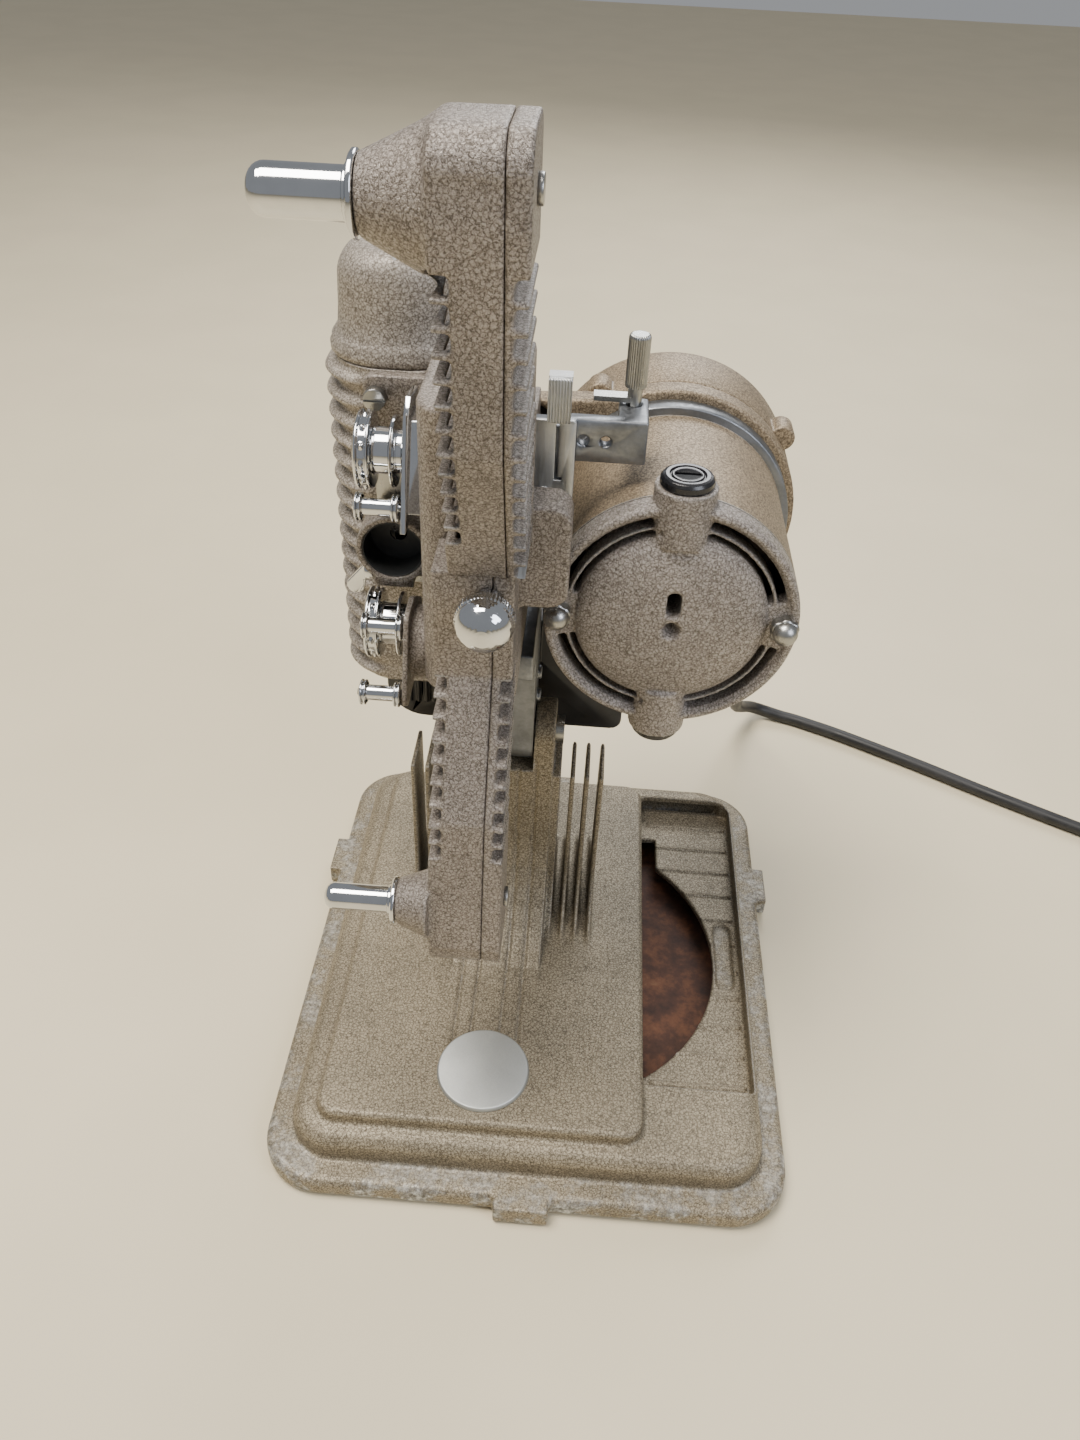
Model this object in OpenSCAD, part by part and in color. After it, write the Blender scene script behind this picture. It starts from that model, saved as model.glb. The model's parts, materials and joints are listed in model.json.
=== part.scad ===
// A film projector for narrow home-cinema film. A die-cast base holds one reel in a
// store under its top panel. A pedestal carries the tilting head: the mechanism
// housing, two reel arms, the lamp house, the motor with its blower and a switch box.
// Millimetres. +X is the motor side, -Y the lens side and +Z up; the origin is on the
// table under the middle of the base.

/* [Base] */
// Width of the base, left to right
base_w = 178; // [168:1:214]
// Depth of the base, front to back
base_d = 203; // [195:1:244]
// Corner radius of the base in plan
base_corner_r = 20; // [12:1:30]
// Height of the rim flange above the table
flange_top = 9; // [7:0.5:12]
// How far the body stands in from the rim on each side
body_inset = 9; // [6:0.5:12]
// Height of the body above the table
body_top = 20; // [18:0.5:22]
// Height of the raised panel above the table
panel_top = 25; // [23:0.5:28]
// Distance of the panel's left side from the middle of the base
panel_left = 71; // [60:1:74]
// Distance of the panel's right side from the middle of the base
panel_right = 39; // [30:1:45]
// Margin between the panel and the front and back of the base
panel_margin = 16; // [13:0.5:20]
// Wall of the casting
casting_wall = 3; // [2:0.25:4]
// Height of the rubber feet that show below the rim
foot_gap = 1; // [0.5:0.25:2]
// Diameter of the reel that the base stores
reel_d = 127; // [100:1:130]
// Clearance round the stored reel
reel_clear = 2; // [1:0.5:3]
// Height of the ridged floor beside the reel store
ridge_floor = 11; // [9:0.5:13]
// Diameter of the round badge plate
badge_d = 32; // [26:1:36]

/* [Pedestal] */
// Height of the tilt pivot above the table
pivot_z = 108; // [102:1:112]
// Radius of the rounded lugs at the pivot
lug_r = 11; // [9:0.5:13]
// Radius of the pivot bolt
bolt_r = 3; // [2.5:0.25:4]
// Width of the tilt bracket's tongue
tongue_w = 18; // [14:0.5:20]
// Side clearance of the tongue in its fork
tongue_gap = 0.35; // [0.3:0.05:0.6]
// Thickness of one pedestal fin
ped_fin_t = 1.6; // [1.2:0.1:2.4]
// Pitch of the pedestal fins
ped_fin_pitch = 5.2; // [4.4:0.1:6]

/* [Film path] */
// Distance of the film's middle from the middle of the base
film_x = 51; // [49:0.5:53]
// Height of the lens axis above the table
lens_z = 190; // [184:1:196]
// Bore of the lens holder
lens_bore_d = 18.4; // [16:0.1:19]
// Wall of the lens holder
lens_wall = 1.9; // [1.5:0.1:2.5]
// Radius of the sprocket drums at the film
sprocket_r = 8; // [7:0.25:9]
// Diameter of the reel spindles
spindle_d = 7.9; // [7.5:0.1:8.1]
// Length of each spindle outside its arm
spindle_len = 20; // [16:0.5:24]
// Radial running clearance of every turning shaft
run_clear = 0.05; // [0.02:0.01:0.1]

/* [Arms] */
// Thickness of one cooling rib on the arms
rib_t = 1.4; // [1:0.1:2]
// Pitch of the ribs on the arms
rib_pitch = 5.6; // [5:0.1:6.5]
// Wall of the arms
arm_wall = 2.5; // [2:0.25:3]

/* [Lamp house] */
// Width of the lamp house over its fins
lamp_w = 44; // [40:1:45]
// Depth of the lamp house over its fins
lamp_d = 46; // [42:1:48]
// Height of the finned part
lamp_h = 110; // [100:1:112]
// Number of fins round the lamp house
lamp_fins = 16; // [12:1:18]
// Thickness of one fin at its rim
lamp_fin_t = 2; // [1.5:0.1:2.5]
// How far the fins stand out
lamp_fin_out = 4; // [3:0.25:5]
// Height of the cap
cap_h = 30; // [24:1:34]

/* [Motor] */
// Outer diameter of the motor
motor_d = 72; // [68:1:74]
// Height of the motor shaft above the table
motor_z = 186; // [184:0.5:190]
// Length of the motor shell
motor_len = 50; // [44:1:52]
// Wall of the motor shell
shell_wall = 2; // [1.5:0.25:2.5]
// Outer diameter of the blower housing
blower_d = 82; // [76:1:84]
// Depth of the blower housing
blower_len = 30; // [24:1:34]

/* [Cord] */
// Diameter of the mains lead
cord_d = 6; // [5:0.25:7]

/* [Hidden] */
$fn = 48;

// Colours of the finishes
enamel = "#9c9384";
zinc = "#8f9092";
chrome = "#c9ccd0";
steel = "#a8abad";
black = "#232326";
rust = "#4a3024";

// Base
plate_t = 1.2;
plate_z = foot_gap;
cavity_z = plate_z + plate_t;
base_x = base_w / 2;
base_y = base_d / 2;
body_x = base_x - body_inset;
body_y = base_y - body_inset;
panel_y = base_y - panel_margin;
store_r = reel_d / 2 + reel_clear;
store_x = panel_right + 29 - store_r;
floor_t = 2.5;
pocket_front = -62;
pocket_back = 84;
foot_r = 7;
foot_stem_r = 3;
foot_stem_top = cavity_z + 2;
foot_in = 30;
badge_x = -16.4;
badge_y = -65;
badge_t = 1.6;
lug_w = 18;
lug_out = 4;
side_lug_y = 46;

// Pedestal: the fork's middle is also the middle of the badge and its grooves
ped_x = badge_x;
ped_half = tongue_w / 2 + 7.5;
fork_half = tongue_w / 2 + tongue_gap;
pivot_y = 22;
ped_front = pivot_y - lug_r;
ped_back = pivot_y + lug_r;
ped_curve_r = 40;
fin_curve_r = 22;
fin_drop = 14;
fork_floor = pivot_z - lug_r - 0.6;
bracket_nose = -14;
bracket_screw_z = [pivot_z + 14, pivot_z + 24];
bolt_head_t = 3;
groove_w = 1.6;
groove_deep = 1;
groove_at = [-12, -6, 4.4, 10.4];

// Head
house_l = -38;
house_r = -11;
house_f = -34;
house_b = 12;
house_z0 = 165;
house_z1 = 250;
house_wall = 3;
house_r0 = 8;
shaft_x = -17.5;
shaft_z = 208;
shaft_r = 2.5;
arm_joint = -34;
arm_split = 216;

// Arms: the two seams between each arm and its cover
feed_y = -58.5;
feed_z = 303;
takeup_y = -66.5;
takeup_z = 112;
upper_l = -27.5;
upper_seam = -13;
upper_r = -8;
lower_l = -32;
lower_seam = -16.5;
lower_r = -11;
spindle_root = -43.3;
flange_t = 1.4;
spindle_shaft_r = 2.5;
upper_rib_n = 12;
upper_rib_z = 226;
lower_rib_n = 9;
lower_rib_z = 132;
rib_deep = 2;
screw_r = 3;
upper_screw = [-59, 306];
lower_screw = [-60, 110];
feed_drum_r = 8;
takeup_drum_r = 3.3;

// Film path
upper_spr = [-3, 223.6];
lower_spr = [-6, 168.5];
roller_up = [-16.5, 213.5];
roller_lo_a = [-19.5, 176.5];
roller_lo_b = [-28, 158.5];
plate_x = -43;
plate_thick = 1.6;
sprocket_w = 13;
sprocket_face = plate_x - plate_thick - 0.4;
stub_r = 1.8;
axle_r = 1.2;
roller_r = 2.5;
roller_len = 12;
lens_len = 12.4;
lens_r = lens_bore_d / 2;
clamp = [7.5, lens_z - 11.5];
holder_r = lens_r + lens_wall;
gate_y = 15.2;
shutter_x = -33;
shutter_y = 13;
shutter_r = 19.6;

// Lamp house
lamp_l = -75;
lamp_r = lamp_l + lamp_w;
lamp_f = 18;
lamp_b = lamp_f + lamp_d;
lamp_z0 = 127;
lamp_z1 = lamp_z0 + lamp_h;
lamp_wall = 2;
lamp_flat = lamp_f + 1.2;
lamp_corner = 18;
fin_pitch = lamp_h / lamp_fins;
cap_z1 = lamp_z1 + cap_h;
bulb_y = (lamp_f + lamp_b) / 2;
bulb_r = 11;
door_l = -60;
door_t = 2.8;
thumb_x = -56.5;
thumb_z = lamp_z1 - 6;
thumb_r = 1.6;
condenser_r = 6.9;

// Motor
motor_x = 31;
motor_r = motor_d / 2;
motor_f = -14;
motor_b = motor_f + motor_len;
cover_t = 6;
dome_r = 27;
ring_t = 6;
ring_r = motor_r + 2.5;
ring_b = motor_b + ring_t;
case_t = 8;
case_b = ring_b + case_t;
blower_r = blower_d / 2;
blower_b = case_b + blower_len;
belt_y = ring_b + case_t / 2;
belt_r = 1.5;
pulley_big = 10;
pulley_small = 5;
motor_shaft_r = 3;
nut_r = 32;
brush_r = 8.5;

// Selector and clutch
sel_x0 = -10;
sel_x1 = 1.2;
sel_y = -12;
sel_z0 = 216;
sel_z1 = 240;
sel_t = 1.2;
post_x = 16;
post_y = 5;
post_z = 243;
post_r = 2.7;

// Switch box
box_l = -64;
box_r = 24;
box_f = 42;
box_b = 76;
box_z0 = 93;
box_corner = 14;
box_step_x = -30;
box_step_z = 140;
knob_x = -40;
knob_z = 110;
knob_shaft_r = 2.5;

// Cord: the route leaves the switch box, falls to the table and runs off to the right
cord_r = cord_d / 2;
cord_sides = 8;
relief_len = 30;
exit_y = 62;
exit_z = 108;
cord_route = [[54, 62, 108], [59, 62, 108], [64, 62, 108], [74, 72, 102], [78, 92, 84], [81, 122, 54],
    [86, 150, 24], [98, 170, 8], [114, 170, 3.2], [134, 162, 3.2], [154, 152, 3.2],
    [180, 138, 3.2], [206, 123, 3.2], [230, 110, 3.2], [256, 96, 3.2], [288, 76, 3.2]];
coil_c = [328, 100];
coil_r = 35;
coil_w = 19;
coil_h = 18.8;
tail_route = [[350, 59, 9], [360, 58, 7], [370, 58, 6], [375, 58, 6], [380, 58, 6]];
plug_at = [380, 58, 6];
pin_half = 6.35;

// ---- shared shapes ----
module yz(x0, x1) {
    translate([x0, 0, 0]) rotate([90, 0, 90]) linear_extrude(height = x1 - x0) children();
}
module xz(y0, y1) {
    translate([0, y1, 0]) rotate([90, 0, 0]) linear_extrude(height = y1 - y0) children();
}
module xy(z0, z1) {
    translate([0, 0, z0]) linear_extrude(height = z1 - z0) children();
}
module block(x0, x1, y0, y1, z0, z1) {
    translate([x0, y0, z0]) cube([x1 - x0, y1 - y0, z1 - z0]);
}
module rod_x(x0, x1, y, z, r, r2 = undef) {
    translate([x0, y, z]) rotate([0, 90, 0])
        cylinder(h = x1 - x0, r1 = r, r2 = is_undef(r2) ? r : r2);
}
module rod_y(y0, y1, x, z, r, r2 = undef) {
    translate([x, y0, z]) rotate([-90, 0, 0])
        cylinder(h = y1 - y0, r1 = r, r2 = is_undef(r2) ? r : r2);
}
module rod_z(z0, z1, x, y, r, r2 = undef) {
    translate([x, y, z0]) cylinder(h = z1 - z0, r1 = r, r2 = is_undef(r2) ? r : r2);
}
// A rectangle from corner to corner with rounded corners
module round_rect(x0, x1, y0, y1, r) {
    translate([(x0 + x1) / 2, (y0 + y1) / 2])
        offset(r = r, $fn = 32) square([x1 - x0 - 2 * r, y1 - y0 - 2 * r], center = true);
}
// Points of an arc about c, from angle a0 to a1
function arc(c, r, a0, a1, n = 8) =
    [for (i = [0:n]) [c[0] + r * cos(a0 + (a1 - a0) * i / n), c[1] + r * sin(a0 + (a1 - a0) * i / n)]];

// ---- base ----
module base_outline(top) {
    if (top == "flange") round_rect(-base_x, base_x, -base_y, base_y, base_corner_r);
    if (top == "body") round_rect(-body_x, body_x, -body_y, body_y, base_corner_r - 5);
    if (top == "panel") round_rect(-panel_left, panel_right, -panel_y, panel_y, 7);
}
// Side view of the pedestal: straight above, with a hollow curve down to the panel
function ped_side(front, back, top, r) = concat(
    [[back, panel_top - 1], [front - r, panel_top - 1]],
    arc([front - r, panel_top + r], r, -90, 0),
    [[front, top], [back, top]],
    arc([back + r, panel_top + r], r, 180, 270),
    [[back + r, panel_top - 1]]);
module ped_core_side() {
    difference() {
        polygon(ped_side(ped_front, ped_back, pivot_z, ped_curve_r));
        translate([ped_back, 0]) square([80, panel_top - 1]);
    }
    translate([pivot_y, pivot_z]) circle(r = lug_r);
}
module ped_fins() {
    for (side = [-1, 1], i = [0:3]) {
        fin_c = ped_x + side * (ped_half + 2 + i * ped_fin_pitch);
        yz(fin_c - ped_fin_t / 2, fin_c + ped_fin_t / 2)
            polygon(ped_side(ped_front + 1, ped_back - 1, pivot_z - fin_drop, fin_curve_r));
    }
}
module base_casting() {
    color(enamel) difference() {
        union() {
            xy(foot_gap, flange_top) base_outline("flange");
            xy(flange_top, body_top) base_outline("body");
            xy(body_top, panel_top) base_outline("panel");
            yz(ped_x - ped_half, ped_x + ped_half) ped_core_side();
            ped_fins();
            for (side = [-1, 1])
                block(side * base_x - lug_out, side * base_x + lug_out,
                    side_lug_y - lug_w / 2, side_lug_y + lug_w / 2, foot_gap, flange_top);
            for (end = [-1, 1])
                block(-lug_w / 2, lug_w / 2, end * base_y - lug_out, end * base_y + lug_out,
                    foot_gap, flange_top);
        }
        // Hollow under the body, closed by the bottom plate
        xy(foot_gap - 1, body_top - casting_wall)
            round_rect(-body_x + casting_wall, body_x - casting_wall,
                -body_y + casting_wall, body_y - casting_wall, base_corner_r - 8);
        // Reel store under the panel
        rod_z(body_top - casting_wall - 1, panel_top - casting_wall, store_x, 0, store_r);
        // Open pocket beside the panel
        xy(ridge_floor, panel_top)
            round_rect(panel_right, body_x - 1.5, pocket_front, pocket_back, 3);
        // Fork for the tongue of the tilt bracket
        block(ped_x - fork_half, ped_x + fork_half, ped_front - 1, ped_back + 20,
            fork_floor, pivot_z + lug_r + 1);
        rod_x(ped_x - ped_half - 1, ped_x + ped_half + 1, pivot_y, pivot_z, bolt_r + run_clear);
        ped_grooves();
    }
    color(enamel) ridged_floor();
}
// The ridged floor beside the reel store, cut by the round store and its finger dip
module ridged_floor() {
    floor_x1 = body_x - casting_wall;
    difference() {
        union() {
            block(panel_right - 0.5, floor_x1, pocket_front - 2, pocket_back + 2,
                ridge_floor - floor_t, ridge_floor);
            for (y = [pocket_front + 6 : 13 : pocket_back - 8])
                block(panel_right + 4, floor_x1, y, y + 1.2, ridge_floor - 1, ridge_floor + 0.8);
        }
        rod_z(ridge_floor - floor_t - 1, ridge_floor + 2, store_x, 0, store_r);
        block(panel_right - 1, panel_right + 7, 40, 66, ridge_floor - floor_t - 1, ridge_floor + 2);
        xy(ridge_floor - 1.5, ridge_floor + 2) round_rect(69, floor_x1 - 1, -12, 20, 3);
    }
}
// Four grooves that run from the badge up the front of the pedestal
module ped_grooves() {
    for (g = groove_at)
        yz(ped_x + g - groove_w / 2, ped_x + g + groove_w / 2) groove_side();
}
module groove_side() {
    r = ped_curve_r;
    c = [ped_front - r, panel_top + r];
    polygon(concat([[badge_y, panel_top + 1]], arc(c, r, -90, 0),
        [[ped_front - 1, pivot_z - 6], [ped_front + groove_deep, pivot_z - 6]],
        arc(c, r + groove_deep, 0, -90), [[badge_y, panel_top - groove_deep]]));
}
module base_plate() {
    color(rust) difference() {
        xy(plate_z, cavity_z)
            round_rect(-body_x + casting_wall + 0.3, body_x - casting_wall - 0.3,
                -body_y + casting_wall + 0.3, body_y - casting_wall - 0.3, base_corner_r - 8);
        for (x = [-1, 1], y = [-1, 1])
            rod_z(0, cavity_z + 1, x * (base_x - foot_in), y * (base_y - foot_in), foot_stem_r);
    }
}
module foot(side, end) {
    x = side * (base_x - foot_in);
    y = end * (base_y - foot_in);
    color(black) {
        rod_z(0, plate_z, x, y, foot_r);
        rod_z(plate_z, foot_stem_top, x, y, foot_stem_r);
    }
}
module foot_fl() { foot(-1, -1); }
module foot_fr() { foot(1, -1); }
module foot_bl() { foot(-1, 1); }
module foot_br() { foot(1, 1); }
module badge_plate() {
    color(steel) rod_z(panel_top, panel_top + badge_t, badge_x, badge_y, badge_d / 2, badge_d / 2 - 0.6);
}
module pivot_bolt() {
    x0 = ped_x - ped_half;
    x1 = ped_x + ped_half;
    color(steel) {
        rod_x(x0, x1, pivot_y, pivot_z, bolt_r);
        rod_x(x0 - bolt_head_t, x0, pivot_y, pivot_z, bolt_r + 2);
        rod_x(x1, x1 + bolt_head_t, pivot_y, pivot_z, bolt_r + 2);
    }
}

// ---- head ----
module tilt_bracket() {
    x0 = ped_x - tongue_w / 2;
    x1 = ped_x + tongue_w / 2;
    color(zinc) difference() {
        union() {
            yz(x0, x1) {
                translate([pivot_y, pivot_z]) circle(r = lug_r);
                polygon([[ped_front, pivot_z], [ped_back, pivot_z], [ped_back, house_z0],
                    [bracket_nose, house_z0], [bracket_nose, house_z0 - 9],
                    [ped_front - 5, house_z0 - 17]]);
            }
            for (z = bracket_screw_z)
                rod_x(x1, x1 + 1.5, ped_front + 12, z, screw_r - 0.6);
        }
        rod_x(x0 - 1, x1 + 1, pivot_y, pivot_z, bolt_r + run_clear);
    }
}
module mech_housing() {
    color(enamel) difference() {
        union() {
            xy(house_z0, house_z1) round_rect(house_l, house_r, house_f, house_b, house_r0);
            block(house_r - 9, house_r, house_f, house_f + 9, house_z0, house_z1);
            block(house_l + 9, house_r, house_b - 9, house_b, house_z0, house_z1);
            // Bearing bulge to the right of the arms
            xz(house_f, house_f + 12) round_rect(house_r - 8, 2, 196, 226, 5);
            // Links to the case of the drive belt and to the lamp house at the back
            block(-28, house_r, house_b - 2, ring_b, 216, 226);
            block(house_l + 2, -24, house_b - 2, lamp_f - door_t, 214, 236);
        }
        xy(house_z0 + house_wall, house_z1 - house_wall)
            round_rect(house_l + house_wall, house_r - house_wall, house_f + house_wall,
                house_b - house_wall, house_r0 - house_wall);
        rod_y(house_f - 1, house_b + 1, shaft_x, shaft_z, shaft_r + run_clear);
        rod_x(house_l - 1, house_l + house_wall + 1, upper_spr[0], upper_spr[1], stub_r + run_clear);
        rod_y(house_b - 9, house_b + 1, shutter_x, lens_z, axle_r + run_clear);
    }
}
// Notches across an arm that leave thin ribs standing between them
module rib_notches(x0, x1, y0, y1, z, n) {
    for (i = [0:n - 1])
        block(x0, x1, y0, y1, z + i * rib_pitch + rib_t, z + (i + 1) * rib_pitch);
}
module upper_side() {
    polygon(concat([[arm_joint, arm_split], [-52, arm_split], [-67.5, 254], [-73.5, 302]],
        arc([-66.5, 311], 7.5, 195, 90, 6),
        arc([-53, 313], 5.5, 90, 0, 4),
        [[-46, 290], [-44, 262], [arm_joint, 252]]));
}
module lower_side() {
    top = arm_split - 0.3;
    polygon(concat([[arm_joint, top], [-50, top], [-49, 183], [-67, 145], [-74.5, 101]],
        arc([-68, 98.5], 6, 165, 270, 6),
        arc([-58.5, 98.5], 6, 270, 345, 4),
        [[-46, 140], [arm_joint, 170]]));
}
// A hollow arm half, open towards its cover, with a boss for the spindle
module arm_half(x0, x1, y, z, r_root, r_tip) {
    difference() {
        union() {
            yz(x0, x1) children();
            rod_x(spindle_root + flange_t, x0, y, z, r_tip, r_root);
        }
        yz(x0 + arm_wall, x1 + 1) offset(delta = -arm_wall) children();
        rod_x(spindle_root, x0 + arm_wall + 1, y, z, spindle_shaft_r + run_clear);
    }
}
module upper_arm() {
    color(enamel) difference() {
        arm_half(upper_l, upper_seam, feed_y, feed_z, 14.5, 7.4) upper_side();
        rib_notches(upper_l - 1, upper_l + rib_deep, -90, arm_joint - 8, upper_rib_z, upper_rib_n);
    }
}
module upper_arm_cover() {
    color(enamel) difference() {
        yz(upper_seam, upper_r) upper_side();
        rib_notches(upper_r - rib_deep, upper_r + 1, -90, arm_joint - 4, upper_rib_z - 2 * rib_pitch,
            upper_rib_n + 2);
    }
}
module lower_arm() {
    color(enamel) difference() {
        arm_half(lower_l, lower_seam, takeup_y, takeup_z, 10.5, 6.6) lower_side();
        rib_notches(lower_l - 1, lower_l + rib_deep, -90, arm_joint - 6, lower_rib_z, lower_rib_n);
        rod_y(-60, arm_joint + 1, shaft_x, shaft_z, shaft_r + 0.4);
    }
}
module lower_arm_cover() {
    color(enamel) difference() {
        yz(lower_seam, lower_r) lower_side();
        rib_notches(lower_r - rib_deep, lower_r + 1, -90, arm_joint - 4, lower_rib_z, lower_rib_n);
        rod_y(-60, arm_joint + 1, shaft_x, shaft_z, shaft_r + 0.4);
    }
}
module arm_screws() {
    color(steel) {
        rod_x(upper_r, upper_r + 1.2, upper_screw[0], upper_screw[1], screw_r);
        rod_x(lower_r, lower_r + 1.2, lower_screw[0], lower_screw[1], screw_r);
    }
}
// A reel spindle: round flange, shank with a rounded tip and a shaft into the arm
module spindle(y, z, x_in) {
    r = spindle_d / 2;
    tip = spindle_root - spindle_len;
    translate([0, y, z]) rotate([0, 90, 0]) rotate_extrude()
        polygon(concat([[0, x_in], [spindle_shaft_r, x_in],
            [spindle_shaft_r, spindle_root + flange_t - 0.3],
            [r + 3, spindle_root + flange_t - 0.3], [r + 3, spindle_root], [r, spindle_root],
            [r, tip + 2]], [for (a = [15:15:75]) [r - 2 + 2 * cos(a), tip + 2 - 2 * sin(a)]],
            [[r - 2, tip], [0, tip]]));
}
module feed_spindle() {
    color(chrome) {
        spindle(feed_y, feed_z, upper_l + arm_wall + 3);
        rod_x(upper_l + arm_wall + 2, upper_l + arm_wall + 6, feed_y, feed_z, feed_drum_r);
    }
}
module takeup_spindle() {
    color(chrome) {
        spindle(takeup_y, takeup_z, lower_l + arm_wall + 3);
        rod_x(lower_l + arm_wall + 2, lower_l + arm_wall + 6, takeup_y, takeup_z, takeup_drum_r);
    }
}

// ---- mechanism ----
module main_shaft() {
    color(steel) rod_y(-54, case_b - 1.8, shaft_x, shaft_z, shaft_r);
}
module threading_knob() {
    color(chrome) translate([shaft_x, 0, shaft_z]) rotate([90, 0, 0]) rotate_extrude()
        polygon(concat([[shaft_r, 50.4], [4.6, 50.4], [4.2, 58], [7.4, 59], [7.6, 62.5]],
            [for (a = [0:15:90]) [7.2 * cos(a), 62.8 + 4 * sin(a)]],
            [[0, 54], [shaft_r, 54]]));
}
module pulley(x, z, r, bore) {
    w = case_t / 2 - 1.7;
    translate([x, belt_y, z]) rotate([-90, 0, 0]) rotate_extrude()
        polygon([[bore, -w], [r, -w], [r - 1, -belt_r], [r - 1, belt_r], [r, w], [bore, w]]);
}
module driven_pulley() {
    color(black) pulley(shaft_x, shaft_z, pulley_big + 1, shaft_r);
}
module shutter_disc() {
    color(black) difference() {
        union() {
            rod_y(shutter_y, shutter_y + 1.2, shutter_x, lens_z, shutter_r);
            rod_y(house_b - 8, shutter_y, shutter_x, lens_z, axle_r);
        }
        for (a = [0, 120, 240]) rotate_about(shutter_x, lens_z, a)
            block(shutter_x - 4, shutter_x + 4, shutter_y - 0.1, shutter_y + 1.3, lens_z + 10,
                lens_z + shutter_r + 1);
    }
}
module rotate_about(x, z, a) {
    translate([x, 0, z]) rotate([0, a, 0]) translate([-x, 0, -z]) children();
}
// A sprocket: toothed rims either side of a drum, on a stub into the housing
module sprocket(at, x_in) {
    x1 = sprocket_face;
    x0 = x1 - sprocket_w;
    rod_x(x0, x1, at[0], at[1], sprocket_r);
    rod_x(x0, x0 + 1.5, at[0], at[1], sprocket_r + 3);
    rod_x(x1 - 1.5, x1, at[0], at[1], sprocket_r + 1.5);
    rod_x(x1 - 0.5, x_in, at[0], at[1], stub_r);
    for (a = [0:30:330]) translate([0, at[0], at[1]]) rotate([a, 0, 0])
        block(x0 + 3, x0 + 4.2, -0.5, 0.5, sprocket_r - 1, sprocket_r + 1.2);
}
module upper_sprocket() {
    color(chrome) sprocket(upper_spr, house_l + house_wall + 2);
}
module lower_sprocket() {
    color(chrome) sprocket(lower_spr, plate_x + 4);
}
// Chrome plate behind the upper sprocket, on the housing, with the roller's axle
module sprocket_plate() {
    color(chrome) difference() {
        union() {
            yz(plate_x - plate_thick, plate_x)
                polygon([[-21, 208], [-12, 208], [8, 222], [8, 238], [-4, 240], [-9, 236]]);
            yz(plate_x, house_l)
                polygon([[-17, 212], [-10, 212], [4, 222], [4, 234], [-6, 234]]);
            rod_x(plate_x - plate_thick - roller_len - 1.4, plate_x, roller_up[0], roller_up[1], axle_r);
        }
        rod_x(plate_x - 3, house_l + 1, upper_spr[0], upper_spr[1], stub_r + run_clear);
    }
}
// A film roller with a flange at each end, turning on a fixed axle
module roller(at, x1) {
    x0 = x1 - roller_len;
    difference() {
        union() {
            rod_x(x0, x1, at[0], at[1], roller_r);
            rod_x(x0, x0 + 1.5, at[0], at[1], roller_r + 1.3);
            rod_x(x1 - 1.5, x1, at[0], at[1], roller_r + 1.3);
        }
        rod_x(x0 - 1, x1 + 1, at[0], at[1], axle_r + run_clear);
    }
}
module upper_roller() {
    color(chrome) roller(roller_up, plate_x - plate_thick - 0.6);
}
module lower_roller_a() {
    color(chrome) roller(roller_lo_a, plate_x - plate_thick - 0.6);
}
module lower_roller_b() {
    color(chrome) roller(roller_lo_b, plate_x - plate_thick - 0.6);
}
// Round boss and plate that carry the lower sprocket and its two rollers
module lower_boss() {
    reach = plate_x - plate_thick - roller_len - 1.4;
    color(enamel) difference() {
        union() {
            rod_x(plate_x, house_l + 4, lower_spr[0] - 7, lower_spr[1] - 1, 11);
            yz(plate_x - plate_thick, plate_x)
                offset(r = 3, $fn = 24)
                    polygon([[-28, 158], [-4, 160], [-1, 172], [-12, 179], [-20, 179]]);
            rod_x(reach, plate_x, roller_lo_a[0], roller_lo_a[1], axle_r);
            rod_x(reach, plate_x, roller_lo_b[0], roller_lo_b[1], axle_r);
        }
        rod_x(plate_x - 3, plate_x + 5, lower_spr[0], lower_spr[1], stub_r + run_clear);
        block(house_l, house_l + 6, house_f, house_b, house_z0, house_z1);
    }
}
module lens_holder() {
    color(enamel) difference() {
        union() {
            rod_y(0, lens_len, -film_x, lens_z, holder_r);
            block(-film_x, house_l, 1.5, lens_len - 2, lens_z - 9, lens_z - 2);
            block(-film_x, house_l, 9, lens_len - 2, lens_z - 10, lens_z + 9);
            block(-film_x - 7, -film_x + 5, 4, lens_len - 1.4, lens_z - 15, lens_z - 8);
        }
        rod_y(-1, lens_len + 1, -film_x, lens_z, lens_r);
        rod_x(-film_x - 8, -film_x - 1, clamp[0], clamp[1], 1.5 + run_clear);
    }
}
// Clamp screw of the lens: a round head with a drop-shaped finger piece
module lens_lever() {
    x = -film_x - 7;
    color(chrome) {
        rod_x(x - 0.4, x + 5.5, clamp[0], clamp[1], 1.5);
        rod_x(x - 3.2, x - 0.4, clamp[0], clamp[1], 3);
        xz(clamp[0] - 1, clamp[0] + 1)
            polygon(concat([[x - 3, clamp[1] + 2.4]], arc([x - 6.4, clamp[1] - 5.6], 2.8, 160, 330, 6),
                [[x - 3, clamp[1] - 3]]));
    }
}
module gate_plate() {
    color(steel) difference() {
        block(-film_x - 7, -film_x + 9, gate_y, lamp_flat, lens_z - 20, lens_z + 20);
        block(-film_x - 2.3, -film_x + 2.3, gate_y - 1, lamp_flat + 1, lens_z - 1.7, lens_z + 1.7);
    }
}

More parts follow.
